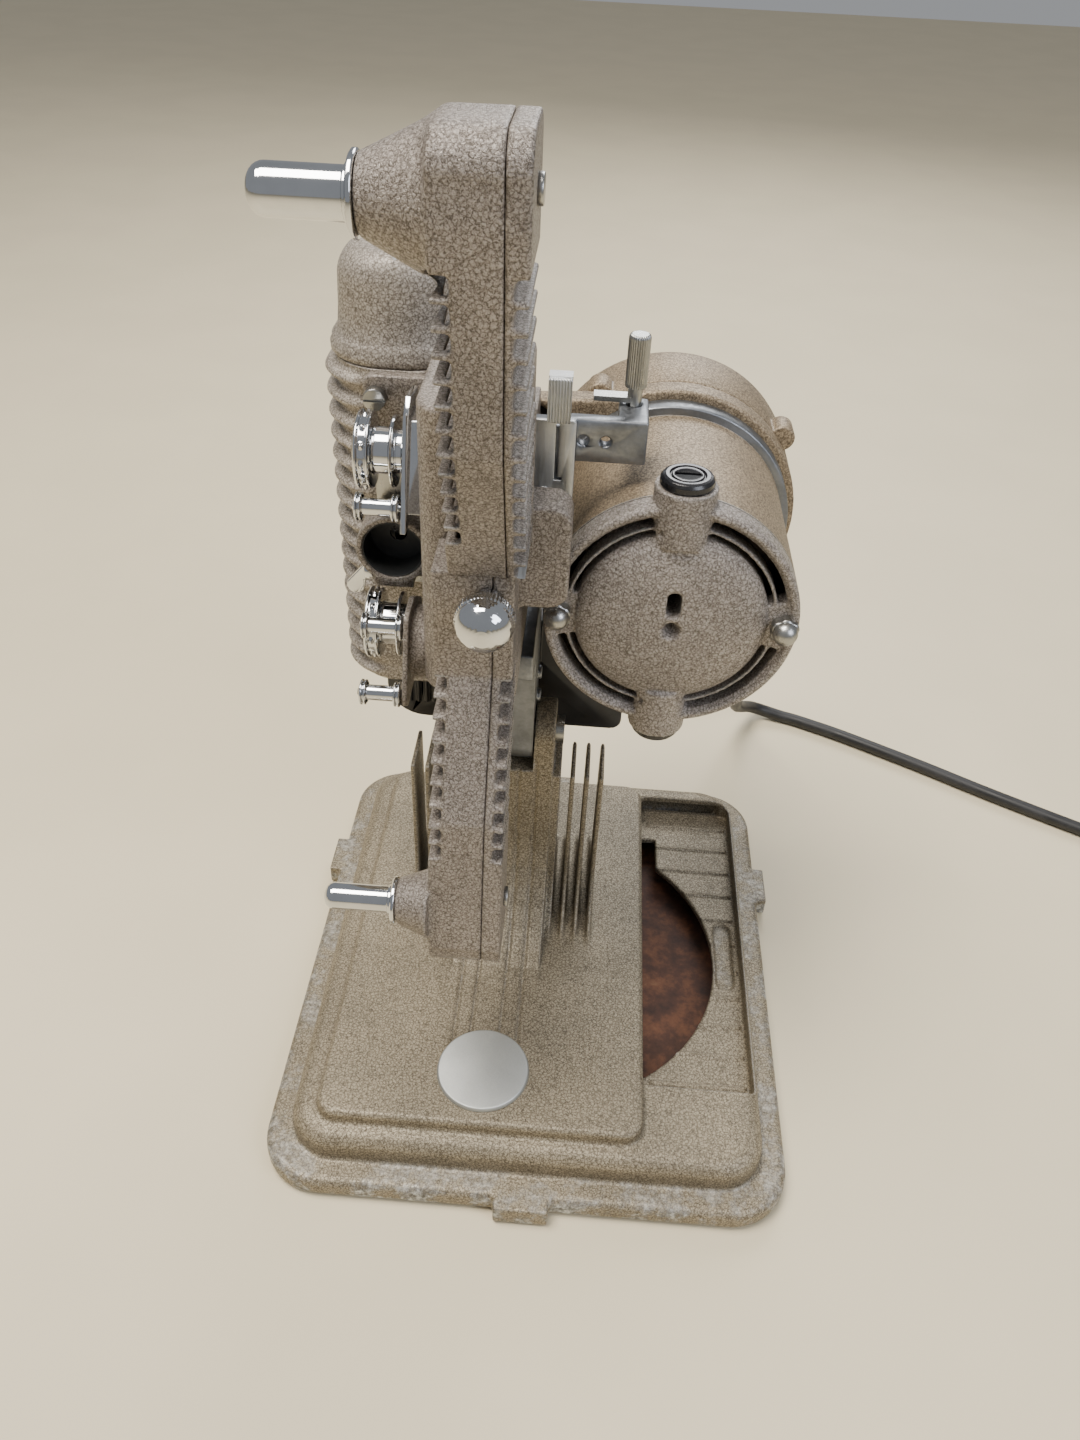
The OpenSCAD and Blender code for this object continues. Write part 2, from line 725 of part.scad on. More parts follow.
// ---- lamp house ----
module lamp_outline(inset, front) {
    round_rect(lamp_l + inset, lamp_r - front, lamp_f + front, lamp_b - inset, lamp_corner - inset / 2);
}
module lamp_house() {
    color(enamel) difference() {
        union() {
            xy(lamp_z0, lamp_z1) lamp_outline(lamp_fin_out, 1);
            for (i = [0:lamp_fins - 1])
                xy(lamp_z0 + i * fin_pitch + 1.5, lamp_z0 + i * fin_pitch + 1.5 + lamp_fin_t)
                    lamp_outline(0, 0);
        }
        xy(lamp_z0 + lamp_wall, lamp_z1 + 1) lamp_outline(lamp_fin_out + lamp_wall, 1 + lamp_wall);
        block(door_l, lamp_r + 1, lamp_f - 1, lamp_flat, lamp_z0 - 1, lamp_z1 + 1);
        rod_y(lamp_f - 1, lamp_f + 6, -film_x, lens_z, condenser_r + 0.1);
    }
}
module lamp_front() {
    color(enamel) difference() {
        xz(lamp_f - door_t, lamp_flat) round_rect(door_l, lamp_r, lens_z + 21, lamp_z1, 3);
        rod_y(lamp_f - 4, lamp_f + 2, thumb_x, thumb_z, thumb_r);
    }
}
module thumbscrew() {
    color(steel) {
        rod_y(lamp_f - door_t, lamp_flat, thumb_x, thumb_z, thumb_r);
        rod_y(lamp_f - 6, lamp_f - door_t, thumb_x, thumb_z, 2 * thumb_r);
    }
}
module lamp_cap() {
    color(enamel) difference() {
        union() {
            xy(lamp_z1 + 0.3, lamp_z1 + 6) lamp_outline(2, 0.5);
            xy(lamp_z1 + 6, cap_z1 - 6) lamp_outline(5, 1.2);
            xy(cap_z1 - 6, cap_z1 - 2) lamp_outline(7, 2.5);
            xy(cap_z1 - 2, cap_z1) lamp_outline(10, 5);
        }
        xy(lamp_z1, cap_z1 - 8) lamp_outline(9, 4);
        block(-66, -58, 22, 34, cap_z1 - 9, cap_z1 + 1);
    }
}
module lamp_bulb() {
    color("#dfe6ea") {
        rod_z(152, 208, -film_x, bulb_y, bulb_r);
        translate([-film_x, bulb_y, 208]) sphere(r = bulb_r);
    }
    color(steel) rod_z(138, 152, -film_x, bulb_y, bulb_r - 2);
}
module lamp_socket() {
    color(black) rod_z(lamp_z0 + lamp_wall, 138, -film_x, bulb_y, bulb_r + 2);
}
module condenser() {
    color("#cfe0e6") rod_y(lamp_flat + 0.2, lamp_flat + 4, -film_x, lens_z, condenser_r);
}

// ---- motor ----
module motor_shell() {
    color(enamel) difference() {
        rod_y(motor_f, motor_b, motor_x, motor_z, motor_r);
        rod_y(motor_f - 1, motor_b + 1, motor_x, motor_z, motor_r - shell_wall);
        rod_z(motor_z - motor_r - 1, motor_z + motor_r + 1, motor_x, motor_f - 2, brush_r);
    }
}
// Vent slots: arcs between two radii, one in each of four quarters
module vent_ring(r0, r1, gap) {
    for (q = [0:3]) rotate([0, 0, q * 90])
        polygon(concat(arc([0, 0], r0, gap, 90 - gap, 10), arc([0, 0], r1, 90 - gap, gap, 10)));
}
module motor_cover() {
    color(enamel) difference() {
        union() {
            rod_y(motor_f - cover_t, motor_f, motor_x, motor_z, motor_r);
            translate([motor_x, motor_f - cover_t, motor_z]) rotate([90, 0, 0]) rotate_extrude()
                polygon(concat([[0, 0]], [for (a = [0:12:90]) [dome_r * cos(a), 6 * sin(a)]]));
            for (side = [-1, 1])
                rod_z(motor_z + (side > 0 ? 24 : -40), motor_z + (side > 0 ? 40 : -24),
                    motor_x, motor_f - 2, brush_r);
        }
        xz(motor_f - cover_t - 1, motor_f + 1) translate([motor_x, motor_z]) {
            vent_ring(30, 32.6, 14);
            vent_ring(27.3, 29, 14);
        }
        xz(motor_f - 16, motor_f + 1) translate([motor_x, motor_z + 8]) offset(r = 1.8, $fn = 24)
            square([0.4, 4], center = true);
        rod_y(motor_f - 4, motor_f + 8, motor_x, motor_z, motor_shaft_r + run_clear);
        for (side = [-1, 1])
            rod_y(motor_f - cover_t - 1, motor_f + 1, motor_x + side * nut_r, motor_z, 2);
    }
}
module brush_caps() {
    color(black) for (side = [-1, 1]) difference() {
        rod_z(motor_z + (side > 0 ? 40 : -43), motor_z + (side > 0 ? 43 : -40),
            motor_x, motor_f - 2, brush_r - 1.2);
        block(motor_x - 4, motor_x + 4, motor_f - 2.8, motor_f - 1.2,
            motor_z + (side > 0 ? 42 : -44), motor_z + (side > 0 ? 44 : -42));
    }
}
module acorn_nuts() {
    color(chrome) for (side = [-1, 1]) {
        x = motor_x + side * nut_r;
        rod_y(motor_f - cover_t, ring_b - 2, x, motor_z, 1.9);
        translate([x, motor_f - cover_t, motor_z]) rotate([90, 0, 0])
            cylinder(h = 3, r = 4.2, $fn = 6);
        translate([x, motor_f - cover_t - 3, motor_z]) sphere(r = 3.6);
    }
}
module motor_field() {
    color(steel) difference() {
        rod_y(motor_f + 10, motor_f + 34, motor_x, motor_z, motor_r - shell_wall - run_clear);
        rod_y(motor_f + 9, motor_f + 35, motor_x, motor_z, 17);
        for (side = [-1, 1])
            rod_y(motor_f + 9, motor_f + 35, motor_x + side * nut_r, motor_z, 2.4);
    }
}
module armature() {
    color(steel) {
        rod_y(motor_f - 3, blower_b - 5, motor_x, motor_z, motor_shaft_r);
        rod_y(motor_f + 11, motor_f + 33, motor_x, motor_z, 16);
        pulley(motor_x, motor_z, pulley_small + 1, motor_shaft_r - 0.5);
    }
}
module fan_wheel() {
    color(steel) difference() {
        union() {
            rod_y(case_b + 3, blower_b - 6, motor_x, motor_z, 8);
            rod_y(case_b + 3, case_b + 4.5, motor_x, motor_z, 32);
            for (i = [0:9]) rotate_about(motor_x, motor_z, i * 36)
                block(motor_x - 0.6, motor_x + 0.6, case_b + 4, blower_b - 8, motor_z + 20, motor_z + 31);
        }
        rod_y(case_b, blower_b, motor_x, motor_z, motor_shaft_r);
    }
}
// Round belt round the two pulleys: two arcs and two straight runs
module belt_outline(grow) {
    d = [motor_x - shaft_x, motor_z - shaft_z];
    len = norm(d);
    tilt = atan2(d[1], d[0]);
    lean = asin((pulley_big - pulley_small) / len);
    translate([shaft_x, shaft_z]) rotate(tilt)
        polygon(concat(arc([0, 0], pulley_big + grow, 90 - lean, 270 + lean, 16),
            arc([len, 0], pulley_small + grow, -90 + lean, 90 - lean, 12)));
}
module drive_belt() {
    color(black) difference() {
        xz(belt_y - belt_r + 0.1, belt_y + belt_r - 0.1) belt_outline(2.4);
        xz(belt_y - belt_r - 1, belt_y + belt_r + 1) belt_outline(0.4);
    }
}
module motor_ring() {
    color(zinc) difference() {
        rod_y(motor_b, ring_b, motor_x, motor_z, ring_r);
        rod_y(motor_b - 1, ring_b - 2, motor_x, motor_z, motor_r - shell_wall);
        rod_y(motor_b, ring_b + 1, motor_x, motor_z, motor_shaft_r + run_clear);
    }
}
// Flat case round the drive belt, between the motor ring and the blower
module drive_case() {
    color(enamel) difference() {
        union() {
            rod_y(ring_b, case_b, motor_x, motor_z, blower_r);
            rod_y(ring_b, case_b, shaft_x, shaft_z, pulley_big + 3.2);
            xz(ring_b, case_b)
                polygon([[shaft_x, shaft_z + 13], [motor_x, motor_z + 38], [motor_x, motor_z - 10],
                    [shaft_x - 4, shaft_z - 12]]);
        }
        xz(ring_b - 1, case_b - 1.5) belt_outline(3);
        xz(ring_b - 1, case_b - 1.5) translate([shaft_x, shaft_z]) circle(r = pulley_big + 2);
        rod_y(ring_b, case_b + 1, motor_x, motor_z, motor_shaft_r + run_clear);
    }
}
module blower_housing() {
    color(enamel) difference() {
        union() {
            translate([motor_x, case_b, motor_z]) rotate([-90, 0, 0]) rotate_extrude()
                polygon(concat([[0, 0], [blower_r, 0], [blower_r, blower_len - 8]],
                    [for (a = [15:15:75]) [blower_r - 8 + 8 * cos(a), blower_len - 8 + 8 * sin(a)]],
                    [[blower_r - 8, blower_len], [0, blower_len]]));
            for (a = [-35, 55]) rotate_about(motor_x, motor_z, a)
                rod_y(case_b, case_b + 9, motor_x, motor_z + blower_r + 1, 4);
        }
        rod_y(case_b - 1, blower_b - 3, motor_x, motor_z, blower_r - 4);
        for (i = [0:7]) rotate_about(motor_x, motor_z, i * 45)
            xz(blower_b - 4, blower_b + 1) translate([motor_x, motor_z + 18]) offset(r = 2, $fn = 24)
                square([0.4, 9], center = true);
    }
}

// ---- selector ----
module selector_bracket() {
    color(zinc) difference() {
        union() {
            block(house_r, sel_x1, sel_y, sel_y + 7, sel_z0, sel_z1 - 2);
            block(sel_x1 - 2, post_x + 4, sel_y + 5, sel_y + 9, 226, 238);
            block(post_x - 4, post_x + 4, sel_y + 5, post_y + 4, 226, 238);
        }
        for (x = [3, 9]) rod_y(sel_y + 4, sel_y + 10, x, 232, 1.4);
        rod_z(225, 239, post_x, post_y, 2 + run_clear);
    }
}
module selector_plate() {
    color(steel) difference() {
        xz(sel_y - sel_t, sel_y) round_rect(sel_x0, sel_x1, sel_z0, sel_z1, 1);
        block(-4, -3.2, sel_y - 2, sel_y + 1, sel_z0 + 8, sel_z1 - 1);
        block(-4, -2, sel_y - 2, sel_y + 1, sel_z0 + 7.2, sel_z0 + 8);
    }
    color(chrome) rod_y(sel_y - sel_t - 0.8, sel_y - sel_t, -6.6, sel_z0 + 3.4, 1.7);
}
module selector_slider() {
    color(chrome) {
        block(-6.4, -0.4, sel_y - sel_t - 3, sel_y - sel_t - 0.3, sel_z1 + 0.5, sel_z1 + 12);
        block(-6.4, -0.4, sel_y - sel_t - 0.3, sel_y + 2, sel_z1 + 10.4, sel_z1 + 12);
    }
}
module clutch_post() {
    color(steel) {
        rod_z(post_z, post_z + 14, post_x, post_y, post_r);
        rod_z(226, post_z, post_x, post_y, 2);
        block(post_x - 11, post_x - 1, post_y - 2, post_y + 2, 239, 240.4);
    }
}

// ---- switch box and cord ----
module switch_box() {
    color(black) difference() {
        union() {
            xz(box_f, box_b) {
                polygon(concat([[box_l, lamp_z0]],
                    arc([box_l + box_corner, box_z0 + box_corner], box_corner, 180, 270),
                    arc([box_r - 4, box_z0 + 4], 4, 270, 360, 4),
                    [[box_r, box_step_z], [box_step_x, box_step_z], [box_step_x, lamp_z0]]));
            }
            for (x = [box_l + 8 : 3 : box_l + 32])
                block(x, x + 1.2, box_f - 0.8, box_f + 1, box_z0 + 7, lamp_z0 - 4);
            block(ped_x - tongue_w / 2, ped_x + tongue_w / 2, ped_back, box_f, 122, 138);
        }
        xz(box_f + 2.5, box_b - 2.5)
            polygon([[box_l + 3, lamp_z0 - 3], [box_l + 16, box_z0 + 3], [box_r - 3, box_z0 + 3],
                [box_r - 3, box_step_z - 3], [box_step_x + 3, box_step_z - 3],
                [box_step_x + 3, lamp_z0 - 3]]);
        rod_y(box_b - 4, box_b + 1, knob_x, knob_z, knob_shaft_r + run_clear);
        rod_x(box_r - 4, box_r + 1, exit_y, exit_z, cord_r);
    }
}
module speed_knob() {
    color(black) {
        rod_y(box_b + 0.4, box_b + 11, knob_x, knob_z, 9, 8);
        rod_y(box_b - 3, box_b + 0.4, knob_x, knob_z, knob_shaft_r);
    }
}
module strain_relief() {
    color(black) translate([box_r, exit_y, exit_z]) rotate([0, 90, 0]) rotate_extrude()
        polygon([[0, 0], [6.5, 0], [6.5, 2.5], [5.2, 3], [cord_r + 0.6, relief_len], [0, relief_len]]);
}
// Swept tube along a route: one ring of points square to the path at each point
function unit(v) = v / norm(v);
function route_dir(p, i) = unit(p[min(i + 1, len(p) - 1)] - p[max(i - 1, 0)]);
function ring_at(c, d, r, n) =
    let (u = unit(cross(d, [0, 0.2, 1])), v = cross(u, d))
    [for (k = [0:n - 1]) c + r * (cos(360 * k / n) * u + sin(360 * k / n) * v)];
// Points on a smooth curve through the route: Catmull-Rom, m steps to a span
function smooth(p, m) = concat([for (i = [0:len(p) - 2], j = [0:m - 1])
    let (a = p[max(i - 1, 0)], b = p[i], c = p[i + 1], d = p[min(i + 2, len(p) - 1)], t = j / m)
    b + t / 2 * (c - a + t * (2 * a - 5 * b + 4 * c - d + t * (3 * b - a - 3 * c + d)))],
    [p[len(p) - 1]]);
module tube(p, r, n) {
    rings = [for (i = [0:len(p) - 1]) ring_at(p[i], route_dir(p, i), r, n)];
    last = len(p) - 1;
    polyhedron(
        points = [for (ring = rings) each ring],
        faces = concat([[for (k = [0:n - 1]) k]],
            [for (i = [0:last - 1], k = [0:n - 1])
                [i * n + k, (i + 1) * n + k, (i + 1) * n + (k + 1) % n, i * n + (k + 1) % n]],
            [[for (k = [n - 1:-1:0]) last * n + k]]));
}
module cord_tube() {
    color(black) tube(smooth(cord_route, 3), cord_r, cord_sides);
}
module cord_coil() {
    color(black) translate([coil_c[0], coil_c[1], 0]) rotate_extrude()
        translate([coil_r, 0]) round_rect(-coil_w / 2, coil_w / 2, 0, coil_h, 4);
}
module cord_tail() {
    color(black) tube(smooth(tail_route, 3), cord_r, cord_sides);
}
module plug() {
    color(black) {
        rod_x(plug_at[0], plug_at[0] + 14, plug_at[1], plug_at[2], cord_r + 0.4, 5);
        block(plug_at[0] + 12, plug_at[0] + 34, plug_at[1] - 12, plug_at[1] + 12, 0, 12);
    }
    color("#c8b070") for (side = [-1, 1])
        block(plug_at[0] + 34, plug_at[0] + 52, plug_at[1] + side * pin_half - 0.75,
            plug_at[1] + side * pin_half + 0.75, plug_at[2] - 3.2, plug_at[2] + 3.2);
}

base_casting();
base_plate();
foot_fl();
foot_fr();
foot_bl();
foot_br();
badge_plate();
pivot_bolt();
tilt_bracket();
mech_housing();
upper_arm();
upper_arm_cover();
lower_arm();
lower_arm_cover();
arm_screws();
feed_spindle();
takeup_spindle();
main_shaft();
threading_knob();
driven_pulley();
shutter_disc();
upper_sprocket();
lower_sprocket();
sprocket_plate();
upper_roller();
lower_roller_a();
lower_roller_b();
lower_boss();
lens_holder();
lens_lever();
gate_plate();
lamp_house();
lamp_cap();
lamp_front();
thumbscrew();
lamp_bulb();
lamp_socket();
condenser();
motor_shell();
motor_cover();
brush_caps();
acorn_nuts();
motor_field();
armature();
fan_wheel();
drive_belt();
motor_ring();
drive_case();
blower_housing();
selector_bracket();
selector_plate();
selector_slider();
clutch_post();
switch_box();
speed_knob();
strain_relief();
cord_tube();
cord_coil();
cord_tail();
plug();
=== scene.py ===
"""A table projector for narrow home-cinema film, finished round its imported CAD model.

Cast pieces are copies of the CAD meshes with rounded edges, turned pieces are profiles carried round an
axis, and the mains lead is one curve from the switch box to its plug. Lengths in the file are metres, and
a figure in millimetres is multiplied by MM.
"""

import json
import math
from functools import reduce

import bmesh
import bpy
import numpy as np
from bpy.props import FloatProperty, FloatVectorProperty, IntProperty, PointerProperty
from mathutils import Matrix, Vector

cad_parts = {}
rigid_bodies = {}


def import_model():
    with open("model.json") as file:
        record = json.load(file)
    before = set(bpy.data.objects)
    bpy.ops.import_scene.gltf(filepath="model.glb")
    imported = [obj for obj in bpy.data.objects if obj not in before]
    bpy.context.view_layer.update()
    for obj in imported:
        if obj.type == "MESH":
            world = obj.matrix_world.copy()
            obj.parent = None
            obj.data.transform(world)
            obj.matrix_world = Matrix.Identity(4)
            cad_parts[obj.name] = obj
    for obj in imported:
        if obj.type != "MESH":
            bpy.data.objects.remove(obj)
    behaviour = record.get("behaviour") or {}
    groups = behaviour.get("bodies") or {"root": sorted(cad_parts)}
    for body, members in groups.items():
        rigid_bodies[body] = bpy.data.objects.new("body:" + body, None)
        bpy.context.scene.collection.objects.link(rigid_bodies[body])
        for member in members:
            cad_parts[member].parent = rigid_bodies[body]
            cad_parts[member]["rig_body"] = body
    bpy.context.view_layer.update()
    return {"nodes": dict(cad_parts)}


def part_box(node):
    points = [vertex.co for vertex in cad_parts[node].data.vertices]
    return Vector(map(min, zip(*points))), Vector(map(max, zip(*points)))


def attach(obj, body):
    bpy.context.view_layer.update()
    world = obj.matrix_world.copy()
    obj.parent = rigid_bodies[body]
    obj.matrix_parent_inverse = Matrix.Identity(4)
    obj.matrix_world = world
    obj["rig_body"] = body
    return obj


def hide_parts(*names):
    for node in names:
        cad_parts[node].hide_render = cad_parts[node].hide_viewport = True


bl_info = {
    "name": "Narrow-film projector",
    "version": (1, 0, 0),
    "blender": (4, 5, 0),
    "location": "View3D > Sidebar > Projector",
    "description": "Builds the finished surfaces of a table film projector round its CAD frame",
    "category": "Add Mesh",
}

MM = 0.001
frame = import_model()
NODES = frame["nodes"]

# Vertices of a CAD mesh closer than this are one
MERGE = 0.002 * MM
# Edges that turn more than this are rounded
SHARP = math.radians(30)
BLACK, WHITE = (0, 0, 0, 1), (1, 1, 1, 1)


# ---- settings ----
def hex_linear(code):
    """Linear RGBA of an sRGB hex colour such as "#9c9384"."""
    channels = [int(code[i : i + 2], 16) / 255 for i in (1, 3, 5)]
    return tuple(c / 12.92 if c <= 0.04045 else ((c + 0.055) / 1.055) ** 2.4 for c in channels) + (1.0,)


def colour(name, description, code):
    """A colour property whose default is an sRGB hex value."""
    return FloatVectorProperty(
        name=name, description=description, subtype="COLOR", size=4, min=0, max=1, default=hex_linear(code)
    )


class ProjectorSizes(bpy.types.PropertyGroup):
    cord_diameter: FloatProperty(
        name="Cord diameter", description="Diameter of the mains lead", default=6 * MM, unit="LENGTH"
    )
    cast_edge: FloatProperty(
        name="Casting edge", description="Radius on the edges of the castings", default=0.9 * MM, unit="LENGTH"
    )
    machined_edge: FloatProperty(
        name="Machined edge", description="Radius on machined and sheet edges", default=0.25 * MM, unit="LENGTH"
    )
    wrinkle: FloatProperty(
        name="Wrinkle", description="Width of one wrinkle of the enamel", default=0.9 * MM, unit="LENGTH"
    )
    turns: IntProperty(
        name="Round steps", description="Steps round a turned piece", default=72, min=24, max=144
    )


class ProjectorColours(bpy.types.PropertyGroup):
    enamel: colour("Enamel", "Taupe wrinkle enamel", "#8f8270")
    # Painted highlight: the colour of the raised crinkle of the enamel, standing in for its glints
    enamel_painted_highlight: colour("Enamel highlight", "Worn, lighter enamel", "#b5a893")
    # Painted shade: the colour of the hollows of the crinkle, where shade falls
    enamel_painted_shade: colour("Enamel shade", "Dirt that stays in the wrinkles", "#5d5243")
    bare_metal: colour("Bare casting", "Zinc where the enamel is rubbed away", "#a9abaa")
    floor: colour("Floor", "Plain pale table top", "#dccfb0")


# ---- materials ----
def add(tree, kind, settings=None, links=None):
    """Adds a node: settings go to its inputs or attributes by name, links to its inputs by name."""
    node = tree.nodes.new(kind)
    for key, value in (settings or {}).items():
        if isinstance(key, int) or key in node.inputs:
            node.inputs[key].default_value = value
        else:
            setattr(node, key, value)
    for key, socket in (links or {}).items():
        tree.links.new(socket, node.inputs[key])
    return node


def new_material(name):
    """A node material without nodes, its tree and its Object coordinates."""
    material = bpy.data.materials.new(name)
    material.use_nodes = True
    tree = material.node_tree
    tree.nodes.clear()
    return material, tree, add(tree, "ShaderNodeTexCoord").outputs["Object"]


def finish_surface(tree, settings, links):
    """The Principled surface of a material, linked to its output."""
    shader = add(tree, "ShaderNodeBsdfPrincipled", settings, links)
    add(tree, "ShaderNodeOutputMaterial", None, {"Surface": shader.outputs["BSDF"]})


def ramp(tree, stops, fac):
    """A colour ramp through (place, colour) stops."""
    node = add(tree, "ShaderNodeValToRGB", None, {"Fac": fac})
    elements = node.color_ramp.elements
    while len(elements) < len(stops):
        elements.new(0.5)
    for element, (place, rgba) in zip(elements, stops):
        element.position = place
        element.color = rgba
    return node.outputs["Color"]


def noise(tree, coords, size, detail, roughness=0.5, distortion=0.0, output="Fac"):
    """Noise whose features are about size metres across."""
    settings = {"Scale": 1 / size, "Detail": detail, "Roughness": roughness, "Distortion": distortion}
    return add(tree, "ShaderNodeTexNoise", settings, {"Vector": coords}).outputs[output]


def map_range(tree, value, before, after):
    """Maps the range before onto the range after, each of them a start and an end, and clamps."""
    settings = dict(zip(("From Min", "From Max", "To Min", "To Max"), (*before, *after)))
    return add(tree, "ShaderNodeMapRange", settings, {"Value": value}).outputs["Result"]


def bump(tree, height, strength, distance):
    """The normal of a surface raised by height times distance."""
    settings = {"Strength": strength, "Distance": distance}
    return add(tree, "ShaderNodeBump", settings, {"Height": height}).outputs["Normal"]


def enamel_material(name, gloss, wear, relief, tone, corroded=False):
    """Baked wrinkle enamel on a die casting, sprayed thick so that it dries in a fine leathery crinkle.

    The eye sees a taupe skin with many small glints, which are painted highlight on the raised crinkle, painted shade
    in its folds, and bright zinc on rubbed edges.
    Where the casting stands on the table it is corroded: white and grey zinc blooms push the enamel off.
    """
    colours = bpy.context.scene.projector_colours
    wrinkle = bpy.context.scene.projector_sizes.wrinkle
    material, tree, coords = new_material(name)
    bent = add(
        tree, "ShaderNodeVectorMath", {"operation": "MULTIPLY_ADD", 1: (wrinkle,) * 3},
        {0: noise(tree, coords, wrinkle, 2.0, output="Color"), 2: coords},
    )
    cells = add(
        tree, "ShaderNodeTexVoronoi", {"feature": "DISTANCE_TO_EDGE", "Scale": 0.8 / wrinkle},
        {"Vector": bent.outputs["Vector"]},
    )
    fold = map_range(tree, cells.outputs["Distance"], (0.0, 0.22), (0.0, 1.0))
    fine = noise(tree, coords, wrinkle * 0.6, 3.0, 0.62, 1.4)
    crinkle = add(
        tree, "ShaderNodeMix", {"data_type": "FLOAT", "Factor": 0.16}, {"A": fine, "B": fold}
    ).outputs["Result"]
    patches = noise(tree, coords, 26 * MM, 4.0, 0.6)
    specks = noise(tree, coords, 4 * MM, 5.0, 0.75)
    dark, plain, light = (
        tuple(c * t for c, t in zip(rgba, (*tone, 1.0)))
        for rgba in (colours.enamel_painted_shade[:], colours.enamel[:], colours.enamel_painted_highlight[:])
    )
    # Painted light: the hollows of the crinkle take the painted shade colour and its raised parts the painted
    # highlight colour
    skin = ramp(tree, [(0.39, dark), (0.50, plain), (0.64, light)], crinkle)
    shade = ramp(tree, [(0.35, (0.86, 0.85, 0.84, 1)), (0.65, (1.08, 1.06, 1.04, 1))], patches)
    mottled_and_painted_light = add(
        tree, "ShaderNodeMix", {"data_type": "RGBA", "blend_type": "MULTIPLY", "Factor": 1.0},
        {"A": skin, "B": shade},
    )
    rubbed = add(tree, "ShaderNodeMath", {"operation": "MULTIPLY"}, {0: edge_mask(tree, 1.1 * MM), 1: specks})
    bare = ramp(tree, [(0.55 - wear, BLACK), (0.62 - wear, WHITE)], rubbed.outputs["Value"])
    # The colour carried on holds the painted highlight and painted shade of the crinkle as well as the rubbed zinc
    worn_and_painted_light = add(
        tree, "ShaderNodeMix", {"data_type": "RGBA", "B": colours.bare_metal[:]},
        {"A": mottled_and_painted_light.outputs["Result"], "Factor": bare},
    ).outputs["Result"]
    finish_surface(
        tree, {"Metallic": 0.35, "Specular IOR Level": 0.6},
        {"Base Color": corrosion(tree, coords, worn_and_painted_light) if corroded else worn_and_painted_light,
         "Roughness": map_range(tree, crinkle, (0.3, 0.7), (gloss + 0.16, gloss)),
         "Normal": bump(tree, crinkle, relief, 0.35 * MM)},
    )
    return material


def corrosion(tree, coords, under):
    """White and dark blooms near the table: a mask of height times patches, over the colour under it."""
    height = add(tree, "ShaderNodeSeparateXYZ", None, {"Vector": coords}).outputs["Z"]
    low = map_range(tree, height, (6.5 * MM, 10.5 * MM), (1.0, 0.0))
    patches = noise(tree, coords, 11 * MM, 6.0, 0.72)
    grains = noise(tree, coords, 2.2 * MM, 4.0, 0.7)
    spread = ramp(tree, [(0.46, BLACK), (0.56, WHITE)], patches)
    mask = add(tree, "ShaderNodeMath", {"operation": "MULTIPLY"}, {0: low, 1: spread})
    stops = [(0.38, hex_linear("#55524d")), (0.50, hex_linear("#8f8f8c")), (0.62, hex_linear("#cfcfc9"))]
    return add(
        tree, "ShaderNodeMix", {"data_type": "RGBA"},
        {"A": under, "B": ramp(tree, stops, grains), "Factor": mask.outputs["Value"]},
    ).outputs["Result"]


def edge_mask(tree, radius):
    """Near 1 on edges and near 0 on flats: how far a rounded normal leans from the true one."""
    rounded = add(tree, "ShaderNodeBevel", {"samples": 4, "Radius": radius})
    true = add(tree, "ShaderNodeNewGeometry")
    lean = add(
        tree, "ShaderNodeVectorMath", {"operation": "DOT_PRODUCT"},
        {0: rounded.outputs["Normal"], 1: true.outputs["Normal"]},
    )
    return map_range(tree, lean.outputs["Value"], (1.0, 0.85), (0.0, 1.0))


def metal_material(name, code, roughness, grain=(1, 1, 1), grain_size=0.3 * MM, relief=0.0, stain=0.15):
    """A bare or plated metal: grain stretches its scratches along an axis, stain is its uneven dulling."""
    material, tree, coords = new_material(name)
    stretched = add(tree, "ShaderNodeMapping", {"Scale": grain}, {"Vector": coords})
    lines = noise(tree, stretched.outputs["Vector"], grain_size, 3.0, 0.6)
    patches = noise(tree, coords, 9 * MM, 5.0, 0.65)
    base = hex_linear(code)
    dull = tuple(c * (1 - stain) for c in base[:3]) + (1,)
    finish_surface(
        tree, {"Metallic": 1.0},
        {"Base Color": ramp(tree, [(0.35, dull), (0.6, base)], patches),
         "Roughness": map_range(tree, lines, (0.3, 0.7), (roughness, roughness * 1.7)),
         "Normal": bump(tree, lines, relief, 0.1 * MM)},
    )
    return material


def plastic_material(name, code, roughness, coarse, relief, dust=0.05):
    """A moulded or sheet material that isn't metal: faint surface texture and a little dust in its patches."""
    material, tree, coords = new_material(name)
    fine = noise(tree, coords, coarse, 3.0, 0.6)
    patches = noise(tree, coords, 12 * MM, 4.0, 0.6)
    base = hex_linear(code)
    dusty = tuple(min(1, c + dust) for c in base[:3]) + (1,)
    finish_surface(
        tree, {},
        {"Base Color": ramp(tree, [(0.42, base), (0.75, dusty)], patches),
         "Roughness": map_range(tree, patches, (0.3, 0.7), (roughness * 0.85, min(1, roughness * 1.25))),
         "Normal": bump(tree, fine, relief, 0.1 * MM)},
    )
    return material


def rusty_sheet_material():
    """Painted steel sheet gone to rust: a dark brown, dry skin with orange blooms and black pits."""
    material, tree, coords = new_material("rusty_sheet_steel")
    stops = [(0.30, hex_linear("#2a1a12")), (0.48, hex_linear("#4d2f20")), (0.60, hex_linear("#6e452c")),
             (0.74, hex_linear("#8a6444"))]
    finish_surface(
        tree, {"Roughness": 0.72},
        {"Base Color": ramp(tree, stops, noise(tree, coords, 14 * MM, 6.0, 0.7)),
         "Normal": bump(tree, noise(tree, coords, 1.6 * MM, 3.0, 0.7), 0.35, 0.2 * MM)},
    )
    return material


